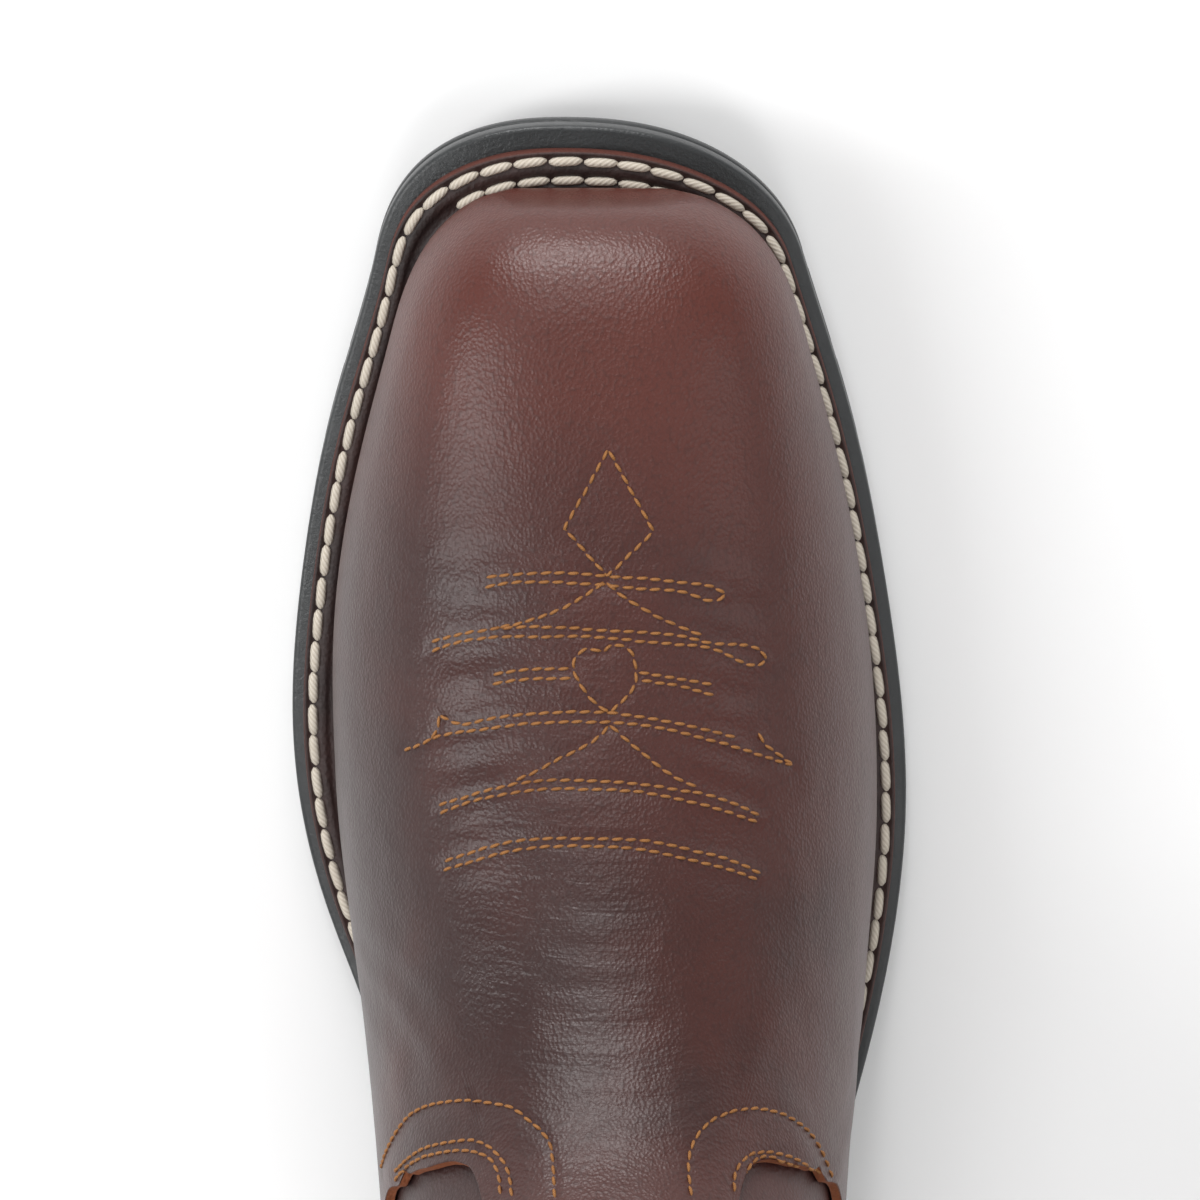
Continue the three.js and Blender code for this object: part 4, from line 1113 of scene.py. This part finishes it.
def stitchPiece(name, paths, size, material):
    # paths: (points, normals) in metres; size in millimetres
    stations = np.linspace(0, 1, size.get("stations", 6))
    around = np.linspace(0, 2 * math.pi, 7)[:-1]
    swell = np.clip(1 - np.abs(2 * stations - 1) ** size.get("blunt", 3.2), .14, 1) ** .5
    points, faces, plies = [], [], []
    for line, normals in paths:
        run = running(line) * 1000
        count = max(1, int(round(run[-1] / size["pitch"])))
        pitch = run[-1] / count
        for k in range(count):
            start = (k + .5) * pitch - size["long"] / 2 * pitch / size["pitch"]
            spots = start + stations * size["long"] * pitch / size["pitch"]
            spots = spots + random.uniform(-.04, .04) * size["pitch"]
            centre = np.stack([np.interp(spots, run, line[:, i]) for i in range(3)], 1)
            up = np.stack([np.interp(spots, run, normals[:, i]) for i in range(3)], 1)
            up /= np.linalg.norm(up, axis=1, keepdims=True)
            ahead = np.gradient(centre, axis=0)
            ahead /= np.linalg.norm(ahead, axis=1, keepdims=True) + 1e-12
            aside = np.cross(up, ahead)
            slant = size.get("slant", 0) * (stations - .5) + random.uniform(-.06, .06)
            rise = size["lift"] + size["arch"] * (1 - (2 * stations - 1) ** 2) - size["arch"]
            centre = centre + up * rise[:, None] / 1000 + aside * slant[:, None] / 1000
            base = len(points)
            for s in range(len(stations)):
                for a in around:
                    points.append(centre[s] + (aside[s] * math.cos(a) * size["wide"] / 2
                                               + up[s] * math.sin(a) * size["high"] / 2) * swell[s] / 1000)
                    plies.append((stations[s] * 2, a / math.pi))
            n = len(around)
            for s in range(len(stations) - 1):
                for a in range(n):
                    b = (a + 1) % n
                    faces.append((base + s * n + a, base + s * n + b, base + (s + 1) * n + b, base + (s + 1) * n + a))
            faces.append(tuple(base + a for a in reversed(range(n))))
            faces.append(tuple(base + (len(stations) - 1) * n + a for a in range(n)))
    mesh = bpy.data.meshes.new(name)
    mesh.from_pydata([tuple(p) for p in points], [], faces)
    layer = mesh.uv_layers.new(name="plies")
    corners = np.zeros(len(mesh.loops), int)
    mesh.loops.foreach_get("vertex_index", corners)
    layer.data.foreach_set("uv", np.array(plies)[corners].ravel())
    mesh.polygons.foreach_set("use_smooth", [True] * len(mesh.polygons))
    mesh.materials.append(material)
    piece = bpy.data.objects.new(name, mesh)
    bpy.context.scene.collection.objects.link(piece)
    faceOutward(piece)
    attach(piece, "root")
    return piece


def surfaceOf(*pieces):
    points, faces = [], []
    for piece in pieces:
        base = len(points)
        points += [v.co.copy() for v in piece.data.vertices]
        faces += [tuple(base + i for i in p.vertices) for p in piece.data.polygons]
    return BVHTree.FromPolygons(points, faces)


def laidOn(tree, path, smooth):
    # drop a plan path straight down on the leather
    line = softPath(path, .5) if smooth else np.concatenate([softPath([a, b], .5) for a, b in zip(path[:-1], path[1:])])
    start = place(np.concatenate([line, np.full((len(line), 1), 400.)], 1))
    spots, ups = [], []
    for p in start:
        hit, normal, _, _ = tree.ray_cast(Vector(p), Vector((0, 0, -1)))
        if hit is not None:
            spots.append(hit)
            ups.append(normal if normal.z > 0 else -normal)
    return np.array(spots), np.array(ups)


vampTree = surfaceOf(vamp)
seamLines = [laidOn(vampTree, path[1:], path[0]) for path in seams]
vampStitch = dict(pitch=2.45, long=2.1, wide=.62, high=.6, lift=.2, arch=.34, stations=5, slant=.2)
stitchPiece("vamp_threads", [line for line in seamLines if len(line[0]) > 3], vampStitch, tanThread)

weltStitch = dict(pitch=6.4, long=6.2, wide=1.9, high=1.5, lift=.3, arch=.4, stations=9, slant=.3, blunt=6)
weltPaths = []
vampFoot = Skin(weltTurns).shell(np.zeros(1), cover)[0][:, :2]
besideVamp = np.minimum(welt["innerRow"], np.linalg.norm(vampFoot - weltLine, axis=1) - .8)
for row in (welt["outerRow"], besideVamp):
    order = atHeight(weltAt(row), lambda a: weltTop(a) - welt["channel"])
    if row is besideVamp:
        # the second row shows round the toe only
        order = order[(order[:, 0] < 40) & (order[:, 1] > -27) & (order[:, 1] < 26)]
    else:
        order = np.concatenate([order, order[:1]])
    weltPaths.append((place(order), np.repeat([[0., 0., 1.]], len(order), 0)))
stitchPiece("welt_threads", weltPaths, weltStitch, weltThread)


def skinLine(turns, depths, distance):
    skin = Skin(np.asarray(turns, float))
    rings = ringBelow(skin, np.asarray(depths, float))[None, :]
    on, above = skin.shell(rings, distance)[0], skin.shell(rings, distance + 1)[0]
    up = place(above) - place(on)
    return place(on), up / np.linalg.norm(up, axis=1, keepdims=True)


trimStitch = dict(pitch=2.8, long=2.4, wide=.8, high=.7, lift=.22, arch=.35, stations=5)
trimPaths = [skinLine(np.linspace(-1, 1, 400), np.full(400, 6.6), outsideAt)]
for side in (-1, 1):
    for across in (-13, 13):
        trimPaths.append(skinLine(np.full(60, side * .5 + across / 175), np.linspace(20, 57, 60), boot["gap"] + 2.2))
    for depth in (20, 57):
        trimPaths.append(skinLine(side * .5 + np.linspace(-13, 13, 40) / 175, np.full(40, depth), boot["gap"] + 2.2))
stitchPiece("trim_threads", trimPaths, trimStitch, tanThread)
print("stitches laid")


# Floor, light and camera
look = dict(floor=srgb(242, 242, 242), keyPower=14, leftPower=16, rightPower=4, toePower=8, instepPower=3, world=.42)
bpy.ops.mesh.primitive_plane_add(size=9, location=(0, 0, 0))
floor = bpy.context.active_object
floor.name = "floor"
floorShader = Shader("floorPaint", Roughness=.9)
floorShader.feed("Base Color", floorShader.mix(floorShader.noise(2) * .04, look["floor"], srgb(228, 228, 230)))
floor.data.materials.append(floorShader.material)


def softBox(name, power, size, spot, target):
    lamp = bpy.data.lights.new(name, "AREA")
    lamp.shape, lamp.size, lamp.size_y, lamp.energy = "RECTANGLE", size[0], size[1], power
    holder = bpy.data.objects.new(name, lamp)
    bpy.context.scene.collection.objects.link(holder)
    holder.location = spot
    holder.rotation_euler = (Vector(target) - Vector(spot)).to_track_quat("-Z", "Y").to_euler()
    return holder


softBox("backLight", look["keyPower"], (1.4, .7), (0, 1.0, 1.7), (0, 0, 0))
softBox("toeLight", look["toePower"], (.6, .1), (.12, -1.3, .45), (0, -.24, .05))
softBox("instepLight", look["instepPower"], (.1, .6), (.08, -1.05, 1.0), (0, -.12, .1))
softBox("leftLight", look["leftPower"], (.5, 1.3), (1.25, -.1, 1.25), (0, -.1, .05))
softBox("rightLight", look["rightPower"], (.5, 1.3), (-1.25, -.1, 1.25), (0, -.1, .05))
world = bpy.data.worlds.new("studio")
world.use_nodes = True
world.node_tree.nodes["Background"].inputs["Color"].default_value = (1, 1, 1, 1)
world.node_tree.nodes["Background"].inputs["Strength"].default_value = look["world"]
bpy.context.scene.world = world
bpy.context.scene.view_settings.view_transform = "Standard"

lens = bpy.data.cameras.new("photoView")
lens.lens, lens.sensor_width, lens.clip_start, lens.clip_end = 174.42, 36, .05, 20
camera = bpy.data.objects.new("photoView", lens)
bpy.context.scene.collection.objects.link(camera)
tilt = math.radians(18)
turned = Matrix(((-1, 0, 0), (0, -math.cos(tilt), -math.sin(tilt)), (0, -math.sin(tilt), math.cos(tilt))))
camera.matrix_world = Matrix.Translation((.0020, -.5223, 1.0592)) @ turned.to_4x4()
bpy.context.scene.camera = camera

print("scene ready")
